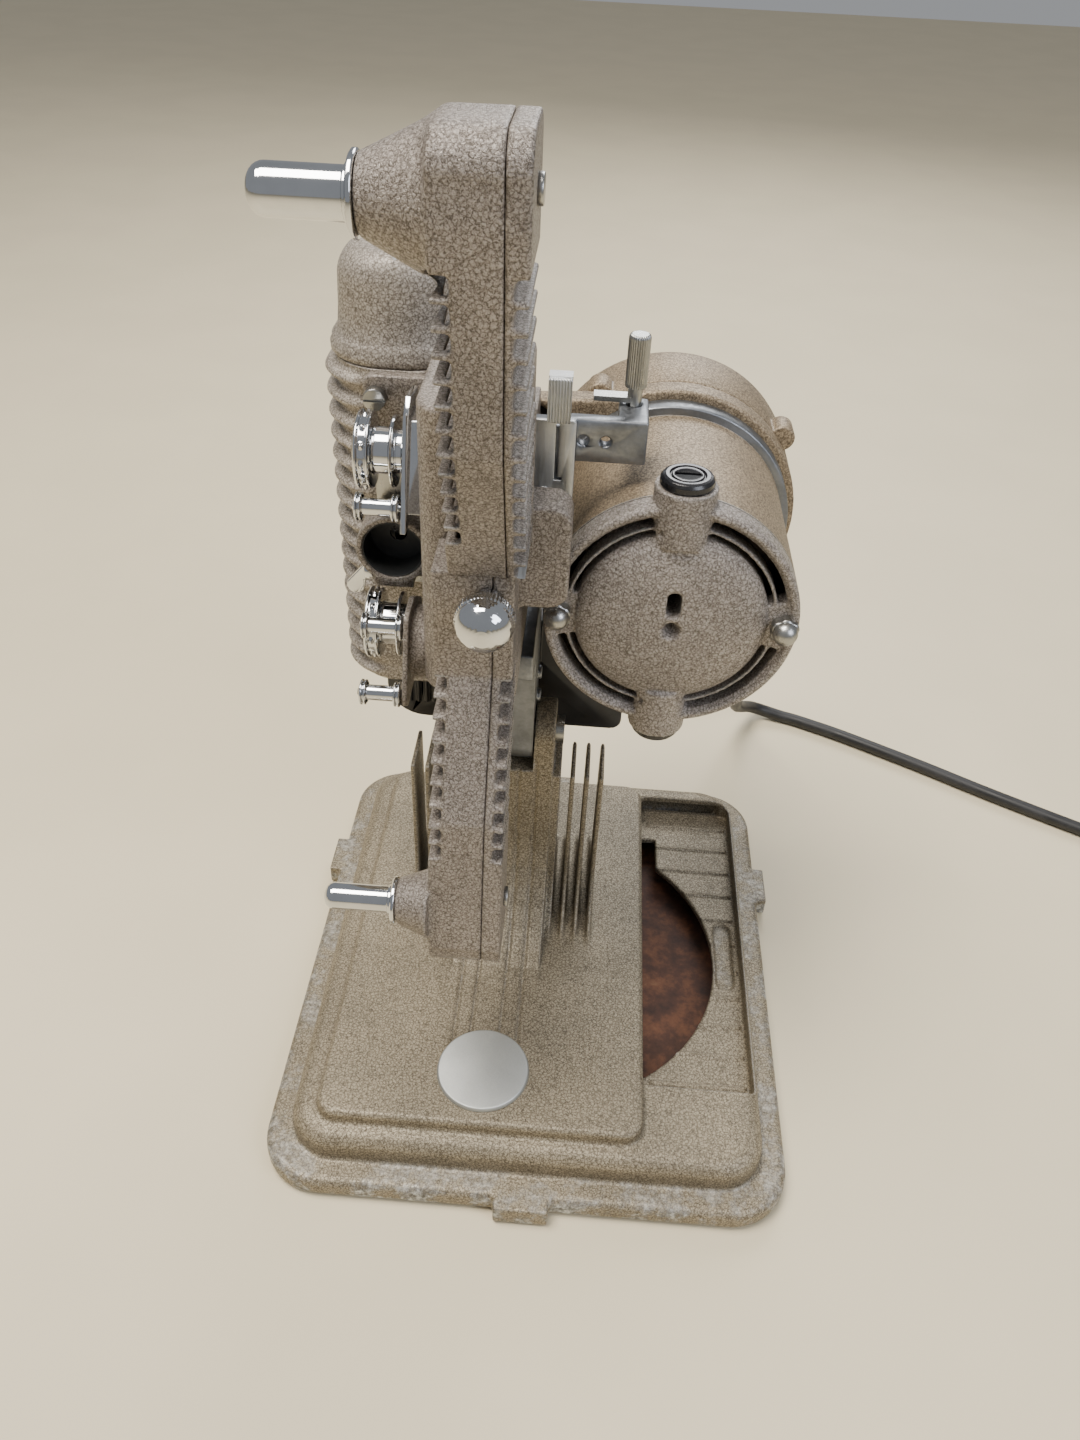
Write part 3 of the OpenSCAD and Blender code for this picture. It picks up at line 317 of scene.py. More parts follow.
def lamp_glass_material():
    """Clear blown and moulded glass with a faint cool tint and a few ripples."""
    material, tree, coords = new_material("clear_lamp_glass")
    finish_surface(
        tree,
        {"Base Color": hex_linear("#eef3f4"), "Roughness": 0.03, "Transmission Weight": 1.0, "IOR": 1.5},
        {"Normal": bump(tree, noise(tree, coords, 6 * MM, 1.0), 0.05, 0.1 * MM)},
    )
    return material


def floor_material():
    """Matt laminate table top, warm and pale, with a barely visible mottling."""
    material, tree, coords = new_material("pale_laminate")
    base = bpy.context.scene.projector_colours.floor[:]
    low = tuple(c * 0.97 for c in base[:3]) + (1,)
    tint = ramp(tree, [(0.4, low), (0.6, base)], noise(tree, coords, 90 * MM, 3.0))
    finish_surface(tree, {"Roughness": 0.6}, {"Base Color": tint})
    return material


def make_materials():
    """Every finish by its own name."""
    return {
        "arm_enamel": enamel_material("wrinkle_enamel_arms", 0.34, 0.20, 0.85, (0.80, 0.86, 1.03)),
        "base_enamel": enamel_material("wrinkle_enamel_base", 0.44, 0.24, 0.32, (0.82, 0.85, 0.81), True),
        "lamp_enamel": enamel_material("wrinkle_enamel_lamp_house", 0.46, 0.20, 0.32, (1.02, 1.12, 1.32)),
        "motor_enamel": enamel_material("wrinkle_enamel_motor", 0.33, 0.19, 1.0, (1.0, 1.1, 1.36)),
        "shell_enamel": enamel_material("wrinkle_enamel_shell", 0.46, 0.2, 0.2, (0.80, 0.76, 0.68)),
        # Plated brass, polished: dark and bright bands of the room
        "chrome": metal_material("polished_chrome_plate", "#d3d5d8", 0.06, stain=0.08),
        # Die-cast zinc left unpainted: dull blue-grey, slightly grainy
        "zinc": metal_material("bare_die_cast_zinc", "#8d9094", 0.34, (1, 1, 1), 1.2 * MM, 0.25, 0.3),
        # Steel turned or cut and left plain: fine lines along its length
        "steel": metal_material("plain_turned_steel", "#a9a9a6", 0.24, (1, 1, 0.12), 0.4 * MM, 0.12),
        # Sheet brushed up and down before engraving
        "brushed": metal_material("brushed_steel_sheet", "#c9cac8", 0.36, (1, 1, 0.06), 0.35 * MM, 0.2),
        # Badge: bead-blasted disc under clear lacquer
        "badge": metal_material("satin_aluminium_disc", "#c9cbc8", 0.42, (1, 1, 1), 0.25 * MM, 0.1, 0.06),
        # Copper and laminated iron inside the motor
        "iron": metal_material("laminated_iron", "#5b544d", 0.45, (1, 0.05, 1), 0.5 * MM, 0.4, 0.4),
        # Compression-moulded phenolic resin: black, hard, semi-gloss
        "phenolic": plastic_material("black_phenolic", "#131316", 0.22, 0.6 * MM, 0.05, 0.012),
        # The same resin in the big switch box, moulded in a duller tool
        "box_phenolic": plastic_material("black_phenolic_matt", "#1b1b1c", 0.42, 0.8 * MM, 0.15, 0.02),
        # Blackened inner tube of the lens seat
        "flock": plastic_material("dull_black_lacquer", "#2b2d2e", 0.55, 0.5 * MM, 0.1, 0.03),
        # Extruded rubber sleeve of the lead: soft sheen, no grain
        "cord_rubber": plastic_material("black_cord_rubber", "#1d1d1e", 0.5, 0.7 * MM, 0.08, 0.02),
        "rubber": plastic_material("foot_rubber", "#1a1a1a", 0.75, 0.8 * MM, 0.2, 0.02),
        "brass": metal_material("plug_pin_brass", "#c2a86a", 0.25, (0.1, 1, 1), 0.4 * MM, 0.1),
        "rust": rusty_sheet_material(),
        "glass": lamp_glass_material(),
        "floor": floor_material(),
    }


MATERIALS = {}

FINISH_OF_NODE = {
    "arm_enamel": ["upper_arm", "upper_arm_cover", "lower_arm", "lower_arm_cover", "mech_housing", "lower_boss",
                   "lens_holder", "lamp_front"],
    "base_enamel": ["base_casting"],
    "lamp_enamel": ["lamp_house", "lamp_cap"],
    "motor_enamel": ["motor_cover"],
    "shell_enamel": ["motor_shell", "drive_case", "blower_housing"],
    "zinc": ["tilt_bracket", "motor_ring", "selector_bracket"],
    "rust": ["base_plate"],
    "rubber": ["foot_fl", "foot_fr", "foot_bl", "foot_br", "drive_belt"],
    "badge": ["badge_plate"],
    "steel": ["pivot_bolt", "arm_screws", "main_shaft", "gate_plate", "thumbscrew", "lamp_socket", "fan_wheel",
              "clutch_post", "acorn_nuts"],
    "brushed": ["selector_plate"],
    "iron": ["motor_field", "armature"],
    "chrome": ["feed_spindle", "takeup_spindle", "threading_knob", "upper_sprocket", "lower_sprocket",
               "sprocket_plate", "upper_roller", "lower_roller_a", "lower_roller_b", "lens_lever",
               "selector_slider"],
    "phenolic": ["driven_pulley", "shutter_disc", "brush_caps", "speed_knob"],
    "box_phenolic": ["switch_box"],
    "glass": ["lamp_bulb", "condenser"],
    "cord_rubber": ["strain_relief", "cord_tube", "cord_coil", "cord_tail", "plug"],
}


def finish_of(node):
    """The material of a CAD node."""
    return MATERIALS[next(k for k, nodes in FINISH_OF_NODE.items() if node in nodes)]


# ---- mesh helpers ----
def show(name, data):
    """A new object in the scene that holds the data."""
    piece = bpy.data.objects.new(name, data)
    bpy.context.scene.collection.objects.link(piece)
    return piece


def new_piece(name, vertices, faces, material, smooth=True):
    """A mesh object in the frame's own coordinates."""
    mesh = bpy.data.meshes.new(name)
    mesh.from_pydata(np.asarray(vertices, float).tolist(), [], [list(f) for f in faces])
    mesh.polygons.foreach_set("use_smooth", np.full(len(mesh.polygons), smooth))
    mesh.materials.append(material)
    mesh.update()
    return show(name, mesh)


def middle_of(node):
    """The middle of a CAD node's box, and half its height."""
    low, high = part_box(node)
    return (low + high) / 2, (high.z - low.z) / 2


def stand_for(piece, node, *others):
    """The piece rides with the node's body and replaces it."""
    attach(piece, NODES[node]["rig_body"])
    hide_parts(node, *others)
    return piece


def grid_faces(rows, columns, wrap):
    """Quads between neighbouring rows of a grid, whose columns join up at the ends if wrap is set."""
    row, column = np.mgrid[0 : rows - 1, 0 : columns if wrap else columns - 1]
    after = (column + 1) % columns
    return np.stack(
        [row * columns + column, row * columns + after, (row + 1) * columns + after, (row + 1) * columns + column], -1
    ).reshape(-1, 4)


def face_outwards(piece):
    """Turns every face of a closed piece outwards."""
    bm = bmesh.new()
    bm.from_mesh(piece.data)
    bmesh.ops.remove_doubles(bm, verts=bm.verts, dist=1e-7)
    bmesh.ops.recalc_face_normals(bm, faces=bm.faces)
    bm.to_mesh(piece.data)
    bm.free()


def supported(section):
    """Adds a point close to both ends of every long run, so that smooth shading leaves flats flat."""
    close, run = 0.12 * MM, 0.5 * MM
    points = [np.asarray(section[0], float)]
    for end in np.asarray(section[1:], float):
        start = points[-1]
        length = np.linalg.norm(end - start)
        if length > run:
            points += [start + (end - start) * close / length, end - (end - start) * close / length]
        points.append(end)
    return np.array(points)


def carried(profile, centre, axis, n, ripple=None):
    """Rings of a profile of (distance along, radius) pairs carried round a unit axis through centre.

    The point at step k of n is centre + along * axis + radius * (cos(2 pi k / n) * u + sin(2 pi k / n) * v),
    where u and v are square to the axis. ripple(angle, along) multiplies the radius.
    """
    along, radius = supported(profile).T[..., None]
    axis = np.asarray(axis, float)
    u = np.cross(axis, [0, 0, 1] if abs(axis[2]) < 0.9 else [1, 0, 0])
    v = np.cross(axis, u)
    angle = 2 * np.pi * np.arange(n) / n
    grown = radius * (ripple(angle, along) if ripple else np.ones(n))
    return (
        np.asarray(centre, float) + along[..., None] * axis
        + grown[..., None] * (np.cos(angle)[:, None] * u + np.sin(angle)[:, None] * v)
    )


def ring_loft(name, rings, material):
    """Rings of equal length joined in order, with a face over the first and the last."""
    rings = np.asarray(rings, float)
    rows, columns = rings.shape[:2]
    faces = list(grid_faces(rows, columns, True))
    faces += [list(range(columns)), [(rows - 1) * columns + k for k in range(columns)]]
    piece = new_piece(name, rings.reshape(-1, 3), faces, material)
    face_outwards(piece)
    return piece


def turned(name, profile, centre, axis, material, steps=None, ripple=None):
    """A closed piece: the rings of a profile carried round an axis, with a face over each end."""
    steps = steps or bpy.context.scene.projector_sizes.turns
    return ring_loft(name, carried(profile, centre, axis, steps, ripple), material)


def tube(name, section, centre, axis, material):
    """A ring without end faces: a closed section carried round an axis."""
    rings = carried(section, centre, axis, bpy.context.scene.projector_sizes.turns * 2)
    rows, columns = rings.shape[:2]
    faces = grid_faces(rows + 1, columns, True) % (rows * columns)
    piece = new_piece(name, rings.reshape(-1, 3), faces, material)
    face_outwards(piece)
    return piece


def rounded_copy(node, width, segments=2):
    """A copy of a CAD node with its triangles merged, its flats joined and its sharp edges rounded."""
    bm = bmesh.new()
    bm.from_mesh(NODES[node].data)
    bmesh.ops.remove_doubles(bm, verts=bm.verts, dist=MERGE)
    bmesh.ops.dissolve_limit(bm, angle_limit=math.radians(0.5), verts=bm.verts, edges=bm.edges)
    angles = np.array([edge.calc_face_angle(0.0) for edge in bm.edges])
    mesh = bpy.data.meshes.new(f"{node}_finished")
    bm.to_mesh(mesh)
    bm.free()
    layer = mesh.attributes.new("bevel_weight_edge", "FLOAT", "EDGE")
    layer.data.foreach_set("value", (angles > SHARP).astype(np.float32))
    mesh.polygons.foreach_set("use_smooth", np.full(len(mesh.polygons), True))
    mesh.update()
    piece = dress(show(mesh.name, mesh), finish_of(node))
    bevel = piece.modifiers.new("Rounded edges", "BEVEL")
    bevel.limit_method = "WEIGHT"
    bevel.width = width
    bevel.segments = segments
    bevel.use_clamp_overlap = False
    bevel.harden_normals = True
    bevel.miter_outer = "MITER_ARC"
    return stand_for(piece, node)


def merged_copy(node, name):
    """An object with a CAD node's mesh, its loose triangles merged."""
    bm = bmesh.new()
    bm.from_mesh(NODES[node].data)
    bmesh.ops.remove_doubles(bm, verts=bm.verts, dist=MERGE)
    mesh = bpy.data.meshes.new(name)
    bm.to_mesh(mesh)
    bm.free()
    return show(name, mesh)


def settle(piece):
    """Applies a piece's modifiers to its mesh."""
    bpy.context.view_layer.update()
    shaped = piece.evaluated_get(bpy.context.evaluated_depsgraph_get())
    mesh = bpy.data.meshes.new_from_object(shaped)
    piece.modifiers.clear()
    piece.data = mesh
    return piece


def carve(piece, tool, operation):
    """Cuts the piece with a closed tool, or keeps only what is inside it, and removes the tool."""
    boolean = piece.modifiers.new("Carve", "BOOLEAN")
    boolean.operation = operation
    boolean.solver = "EXACT"
    boolean.object = tool
    settle(piece)
    bpy.data.objects.remove(tool)
    return piece


def boxes_tool(name, boxes):
    """Closed boxes, each given by its lowest and highest corner."""
    corners = np.array([(i, j, k) for i in (0, 1) for j in (0, 1) for k in (0, 1)])
    sides = np.array([(0, 1, 3, 2), (4, 6, 7, 5), (0, 4, 5, 1), (2, 3, 7, 6), (0, 2, 6, 4), (1, 5, 7, 3)])
    boxes = np.asarray(boxes, float)
    points = boxes[:, None, 0] + corners[None] * (boxes[:, None, 1] - boxes[:, None, 0])
    faces = (sides[None] + 8 * np.arange(len(boxes))[:, None, None]).reshape(-1, 4)
    return new_piece(name, points.reshape(-1, 3), faces, MATERIALS["zinc"], smooth=False)


def block(centre, low, high):
    """Lowest and highest corner of a box, given in millimetres from centre."""
    return np.asarray(centre, float) + MM * np.array([low, high])


def soften(piece, voxel, passes, blends=(), most=180000):
    """Gives a rough solid the skin of a casting: even cells, smoothed so that edges round and corners fill.

    blends are (centre, radius) places where more smoothing flows one form into the next.
    """
    levels, blend_passes = 10, 90
    remesh = piece.modifiers.new("Cells", "REMESH")
    remesh.mode = "VOXEL"
    remesh.voxel_size = voxel
    smooth = piece.modifiers.new("Rounding", "SMOOTH")
    smooth.factor = 0.5
    smooth.iterations = passes
    settle(piece)
    if blends:
        places = np.zeros(len(piece.data.vertices) * 3, np.float32)
        piece.data.vertices.foreach_get("co", places)
        places = places.reshape(-1, 3)
        share = np.zeros(len(places))
        for centre, radius in blends:
            gap = np.linalg.norm(places - np.asarray(centre, np.float32), axis=1) / radius
            share = np.maximum(share, np.clip(1.4 - 1.4 * gap, 0, 1))
        group = piece.vertex_groups.new(name="blend")
        for level in range(1, levels + 1):
            chosen = np.flatnonzero(np.round(share * levels) == level)
            group.add(chosen.tolist(), level / levels, "REPLACE")
        flow = piece.modifiers.new("Blend", "SMOOTH")
        flow.factor = 0.5
        flow.iterations = blend_passes
        flow.vertex_group = "blend"
        settle(piece)
    triangles = 2 * len(piece.data.polygons)
    if triangles > most:
        thin = piece.modifiers.new("Fewer faces", "DECIMATE")
        thin.ratio = most / triangles
        settle(piece)
    piece.data.polygons.foreach_set("use_smooth", np.full(len(piece.data.polygons), True))
    return piece


def dress(piece, material):
    """Leaves a piece with one material."""
    piece.data.materials.clear()
    piece.data.materials.append(material)
    return piece


def join(piece, other):
    """Adds the other mesh to the piece's and removes the other."""
    bm = bmesh.new()
    bm.from_mesh(piece.data)
    bm.from_mesh(other.data)
    bm.to_mesh(piece.data)
    bm.free()
    bpy.data.objects.remove(other)
    return piece


def outline(x0, x1, y0, y1, radius, height, side_steps=10):
    """A rounded rectangle in plan at one height: four arcs joined by straight runs, always as many points."""
    arc = np.linspace(0, np.pi / 2, 11)
    run = np.linspace(0, 1, side_steps + 1)[1:-1, None]
    centres = [(x1 - radius, y1 - radius), (x0 + radius, y1 - radius), (x0 + radius, y0 + radius),
               (x1 - radius, y0 + radius)]
    corners = [
        np.array(c) + radius * np.stack([np.cos(arc + q * np.pi / 2), np.sin(arc + q * np.pi / 2)], -1)
        for q, c in enumerate(centres)
    ]
    parts = []
    for here, after in zip(corners, corners[1:] + corners[:1]):
        parts += [here, here[-1] + run * (after[0] - here[-1])]
    plan = np.vstack(parts)
    return np.column_stack([plan, np.full(len(plan), height)])


# ---- the lead ----
CORD_ROUTE = MM * np.array([
    (54, 62, 108), (59, 62, 108), (64, 62, 108), (74, 72, 102), (78, 92, 84), (81, 122, 54), (86, 150, 24),
    (98, 170, 8), (114, 170, 3.2), (134, 162, 3.2), (154, 152, 3.2), (180, 138, 3.2), (206, 123, 3.2),
    (230, 110, 3.2), (256, 96, 3.2), (288, 76, 3.2)], float)
TAIL_ROUTE = MM * np.array([(350, 59, 9), (360, 58, 7), (370, 58, 6), (375, 58, 6), (380, 58, 6)], float)
COIL_CENTRE = (328 * MM, 100 * MM)
# Places of the nine turns, outside in and bottom up: radius and height
COIL_SLOTS = MM * np.array([
    (41.2, 3.2), (35, 3.2), (28.8, 3.2), (28.8, 9.4), (28.8, 15.6), (35, 15.6), (35, 9.4), (41.2, 9.4),
    (41.2, 15.6)], float)
COIL_START = math.radians(-120.5)
COIL_END = math.radians(-125 + 360 * 8)
COIL_STEP = math.radians(36)
COIL_EXIT = MM * np.array([(44.5, 15.2), (47.4, 12.8)], float)
COIL_EXIT_ANGLES = (math.radians(-104 + 360 * 8), math.radians(-83 + 360 * 8))


def smooth_route(points, steps=6):
    """Catmull-Rom curve through the points: each span is a cubic whose slopes come from its neighbours."""
    before = np.vstack([points[:1], points[:-1]])[:-1]
    after = np.vstack([points[2:], points[-1:]])
    a, b, c, d = before, points[:-1], points[1:], after
    t = (np.arange(steps) / steps)[None, :, None]
    a, b, c, d = (q[:, None, :] for q in (a, b, c, d))
    curve = b + t / 2 * (c - a + t * (2 * a - 5 * b + 4 * c - d + t * (3 * b - a - 3 * c + d)))
    return np.vstack([curve.reshape(-1, 3), points[-1:]])


def coil_line():
    """Nine turns: each runs round at its own radius and height, then eases over to the next place."""
    slots = len(COIL_SLOTS)
    run = (COIL_END - COIL_START - (slots - 1) * COIL_STEP) / slots
    knots, radii, heights = [], [], []
    at = COIL_START
    for radius, height in COIL_SLOTS:
        knots += [at, at + run]
        radii += [radius, radius]
        heights += [height, height]
        at += run + COIL_STEP
    knots += list(COIL_EXIT_ANGLES)
    radii += list(COIL_EXIT[:, 0])
    heights += list(COIL_EXIT[:, 1])
    angle = np.arange(knots[0], knots[-1], math.radians(6))
    span = np.clip(np.searchsorted(knots, angle, "right") - 1, 0, len(knots) - 2)
    knots, radii, heights = (np.asarray(k) for k in (knots, radii, heights))
    share = (angle - knots[span]) / (knots[span + 1] - knots[span])
    share = 0.5 - 0.5 * np.cos(np.pi * share)
    radius = radii[span] + share * (radii[span + 1] - radii[span])
    height = heights[span] + share * (heights[span + 1] - heights[span])
    return np.stack(
        [COIL_CENTRE[0] + radius * np.cos(angle), COIL_CENTRE[1] + radius * np.sin(angle), height], -1
    )


def cord_line():
    """The whole centreline, from the strain relief to the plug."""
    coil = coil_line()
    lead_in = smooth_route(np.vstack([CORD_ROUTE, coil[:1]]))
    lead_out = smooth_route(np.vstack([coil[-1:], TAIL_ROUTE]), 4)
    line = np.vstack([lead_in[:-1], coil, lead_out[1:]])
    line[:, 2] = np.maximum(line[:, 2], bpy.context.scene.projector_sizes.cord_diameter / 2 + 0.1 * MM)
    return line


def make_cord():
    """The mains lead as one open curve, with its strain relief and its plug."""
    diameter = bpy.context.scene.projector_sizes.cord_diameter
    line = cord_line()
    curve = bpy.data.curves.new("mains_lead", "CURVE")
    curve.dimensions = "3D"
    spline = curve.splines.new("POLY")
    spline.points.add(len(line) - 1)
    spline.points.foreach_set("co", np.hstack([line, np.ones((len(line), 1))]).ravel())
    curve.bevel_depth = diameter / 2
    curve.bevel_resolution = 3
    curve.use_fill_caps = True
    curve.materials.append(MATERIALS["cord_rubber"])
    lead = show("mains_lead", curve)
    stand_for(lead, "cord_tube", "cord_coil", "cord_tail")
    relief = make_strain_relief(diameter)
    plug, pins = make_plug()


def make_strain_relief(diameter):
    """A tapered rubber sleeve: its radius falls along the lead and rises again in rings that let it bend."""
    low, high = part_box("strain_relief")
    centre = (0.0, (low.y + high.y) / 2, (low.z + high.z) / 2)
    flange = (high.z - low.z) / 2
    start, end = low.x, high.x
    root = diameter / 2 + 2.2 * MM
    tip = diameter / 2 + 0.6 * MM
    along = np.linspace(start + 3 * MM, end, 90)
    share = (along - along[0]) / (end - along[0])
    rings = 0.35 * MM * (0.5 + 0.5 * np.cos(2 * np.pi * share * 7)) * (1 - share * 0.5)
    radius = root + (tip - root) * share - 0.35 * MM + rings
    profile = [(start, 0.3 * MM), (start, flange - 0.5 * MM), (start + 0.5 * MM, flange),
               (start + 2 * MM, flange), (start + 2.6 * MM, flange - 0.6 * MM)]
    profile += list(zip(along, radius)) + [(end, 0.3 * MM)]
    relief = turned("lead_strain_relief", profile, centre, (1, 0, 0), MATERIALS["cord_rubber"], 32)
    return stand_for(relief, "strain_relief")


def box_rings(start, end, half_y, half_z, centre, corner, rows, bulge):
    """Rounded-rectangle rings along X: a superellipse whose half width swells by bulge(share)."""
    share = np.linspace(0, 1, rows)
    angle = np.linspace(0, 2 * np.pi, 48, endpoint=False)
    power = 2 / corner
    across = np.sign(np.cos(angle)) * np.abs(np.cos(angle)) ** power
    upward = np.sign(np.sin(angle)) * np.abs(np.sin(angle)) ** power
    swell = bulge(share)
    y = centre[0] + half_y * swell[:, None] * across[None, :]
    z = centre[1] + half_z * np.clip(swell, 0, 1)[:, None] * upward[None, :]
    x = np.broadcast_to((start + (end - start) * share)[:, None], y.shape)
    return np.stack([x, y, z], -1)


def make_plug():
    """A moulded two-pin plug: rings that swell from the lead to the finger grip, and two flat pins."""
    low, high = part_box("plug")
    centre = ((low.y + high.y) / 2, (low.z + high.z) / 2)
    body_end = high.x - 18 * MM

    def swell(share):
        neck = 0.32 + 0.68 * (0.5 - 0.5 * np.cos(np.pi * share / 0.35))
        grip = 1 - 0.06 * np.sin(np.pi * (share - 0.35) / 0.65) - 0.05 * (share > 0.97)
        return np.where(share < 0.35, neck, grip)

    rings = box_rings(low.x, body_end, (high.y - low.y) / 2, (high.z - low.z) / 2, centre, 3.2, 40, swell)
    plug = stand_for(ring_loft("lead_plug", rings, MATERIALS["cord_rubber"]), "plug")
    pin_place, pin_half_y, pin_half_z = 6.35 * MM, 0.75 * MM, 3.2 * MM

    def chamfer(share):
        return 1 - 0.35 * np.clip((share - 0.9) / 0.1, 0, 1)

    pins = []
    for side in (-1, 1):
        at = (centre[0] + side * pin_place, centre[1])
        rings = box_rings(body_end - 1 * MM, high.x, pin_half_y, pin_half_z, at, 8, 12, chamfer)
        pins.append(ring_loft("lead_plug_pins", rings, MATERIALS["brass"]))
    blades = reduce(join, pins)
    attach(blades, NODES["plug"]["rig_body"])
    return plug, blades


# ---- camera and stage ----
CAMERA_AT = (5 * MM, -279.5 * MM, 360 * MM)
CAMERA_PITCH = math.radians(39.5)
CAMERA_ROLL = math.radians(2.8)
CAMERA_YAW = math.radians(-2.05)
CAMERA_LENS = 27.5


def make_camera():
    """A wide lens that looks down on the lens side: forward, right and up are worked out from three angles."""
    cp, sp = math.cos(CAMERA_PITCH), math.sin(CAMERA_PITCH)
    forward = np.array([math.sin(CAMERA_YAW) * cp, math.cos(CAMERA_YAW) * cp, -sp])
    right = np.array([math.cos(CAMERA_YAW), -math.sin(CAMERA_YAW), 0.0])
    up = np.cross(right, forward)
    cr, sr = math.cos(CAMERA_ROLL), math.sin(CAMERA_ROLL)
    columns = np.stack([right * cr + up * sr, -right * sr + up * cr, -forward], 1)
    data = bpy.data.cameras.new("camera")
    data.lens = CAMERA_LENS
    data.sensor_width = 36.0
    data.clip_start = 0.01
    camera = show("camera", data)
    camera.matrix_world = Matrix.Translation(CAMERA_AT) @ Matrix(columns.tolist()).to_4x4()
    bpy.context.scene.camera = camera


def area_light(name, place, target, size, power, tint):
    """A square soft box at place, turned to face target."""
    data = bpy.data.lights.new(name, "AREA")
    data.size = size
    data.energy = power
    data.color = hex_linear(tint)[:3]
    light = show(name, data)
    direction = Matrix.Translation(place).translation - Matrix.Translation(target).translation
    light.matrix_world = Matrix.Translation(place) @ direction.to_track_quat("Z", "Y").to_matrix().to_4x4()


def make_stage():
    """Floor, sky-grey world and three soft boxes."""
    half = 3.0
    floor = new_piece(
        "floor", [(-half, -half, 0), (half, -half, 0), (half, half, 0), (-half, half, 0)], [(0, 1, 2, 3)],
        MATERIALS["floor"], smooth=False,
    )
    world = bpy.data.worlds.new("studio")
    world.use_nodes = True
    background = world.node_tree.nodes["Background"]
    background.inputs["Color"].default_value = hex_linear("#dfe2e6")
    background.inputs["Strength"].default_value = 0.42
    bpy.context.scene.world = world
    area_light("key", (-0.35, -0.12, 1.25), (0, 0, 0.12), 0.6, 24.0, "#fff8ee")
    area_light("fill", (0.8, -0.6, 0.85), (0, 0, 0.15), 0.6, 8.0, "#eef3ff")
    area_light("back", (0.25, 1.1, 0.9), (0, 0, 0.15), 0.6, 10.0, "#ffffff")


# ---- cast pieces ----
# The raised panel of the base: lowest X, highest X and half its depth, and its corner radius in millimetres
PANEL = (-71 * MM, 39 * MM, 85.5 * MM)
PANEL_CORNER = 7
# The latch lugs: how far they stand out, half their width, the middle of the side ones, and their heights
LUG_OUT, LUG_HALF, LUG_Y, LUG_Z = 4 * MM, 9 * MM, 46 * MM, (1 * MM, 9 * MM)
# From one rib of an arm to the next, a rib's thickness, and how far back the ribs are cut
RIB_PITCH, RIB, RIB_BACK = 5.6 * MM, 1.4 * MM, -36 * MM
# Round the lamp house: corner radius, and the X beyond which its front is flat
LAMP_CORNER, LAMP_FLAT_X = 18 * MM, -60 * MM


def base_envelope():
    """The cast base without its cuts: rings that round the rim, the shoulder and the panel, then rise past it.

    A profile is (inset, height) pairs in millimetres, and its quarter arcs are 1 - cos and sin of the turn.
    """
    low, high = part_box("base_casting")
    rim_x, rim_y = high.x - LUG_OUT, high.y - LUG_OUT
    panel_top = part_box("badge_plate")[0].z
    turn = np.radians(np.arange(15, 91, 15))
    profile = [(1.2, low.z / MM - 0.1), (0.3, 1.9), (0, 3), (0, 6.3)]
    profile += [(2.7 - 2.7 * math.cos(a), 6.3 + 2.7 * math.sin(a)) for a in turn]
    profile += [(6.6, 9.05), (7.7, 9.5), (8.3, 10.8), (8.6, 13.2)]
    profile += [(8.6 + 6 * (1 - math.cos(a)), 13.6 + 6.4 * math.sin(a)) for a in turn]
    step = [(-0.7, 20.05), (-0.4, 20.4), (0, 21.2), (0, 23)]
    step += [(2 - 2 * math.cos(a), 23 + 2 * math.sin(a)) for a in turn]

    def ring(x0, x1, half_y, inset, height, corner):
        i = inset * MM
        return outline(x0 + i, x1 - i, i - half_y, half_y - i, corner * MM, height)

    rings = [ring(-rim_x, rim_x, rim_y, i, z * MM, max(20 - 0.55 * i, 6)) for i, z in profile]
    rings += [ring(*PANEL, i, z * MM, PANEL_CORNER) for i, z in step]
    rings.append(ring(*PANEL, 2, panel_top + high.z, PANEL_CORNER))
    return ring_loft("base_envelope", rings, MATERIALS["base_enamel"])


def lug_boxes():
    """The four latch lugs that stand out from the rim."""
    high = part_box("base_casting")[1]
    rim_x, rim_y = high.x - LUG_OUT, high.y - LUG_OUT
    z0, z1 = LUG_Z
    sides = [
        ((s * rim_x - LUG_OUT, LUG_Y - LUG_HALF, z0), (s * rim_x + LUG_OUT, LUG_Y + LUG_HALF, z1)) for s in (-1, 1)
    ]
    ends = [((-LUG_HALF, e * rim_y - LUG_OUT, z0), (LUG_HALF, e * rim_y + LUG_OUT, z1)) for e in (-1, 1)]
    return sides + ends


def make_base():
    """The cast base and its badge."""
    base = carve(merged_copy("base_casting", "base_shell"), base_envelope(), "INTERSECT")
    join(base, boxes_tool("lugs", lug_boxes()))
    soften(base, 0.58 * MM, 3)
    stand_for(dress(base, MATERIALS["base_enamel"]), "base_casting")
    rounded_copy("badge_plate", 0.4 * MM, 3)


def rib_cuts(x0, x1, first, count):
    """Gaps between the ribs of an arm, at the ribs' own pitch."""
    before_arm = -90 * MM
    return [
        ((x0, before_arm, first + i * RIB_PITCH + RIB), (x1, RIB_BACK, first + (i + 1) * RIB_PITCH))
        for i in range(count)
    ]


def backing_boxes(arm, wall, first, count):
    """One box behind each gap: it starts just inside the arm's front face, found by a ray from the front."""
    middle, half, skin, overlap = (wall[0] + wall[1]) / 2, 3 * MM, 0.7 * MM, 2 * MM
    boxes = []
    for i in range(count):
        height = first + (i + 0.6) * RIB_PITCH
        fronts = []
        for z in (height - half, height + half):
            found, place, _, _ = arm.ray_cast((middle, -200 * MM, z), (0, 1, 0))
            fronts.append(place.y if found else RIB_BACK)
        boxes.append(((wall[0], max(fronts) + skin, height - half), (wall[1], RIB_BACK + overlap, height + half)))
    return boxes


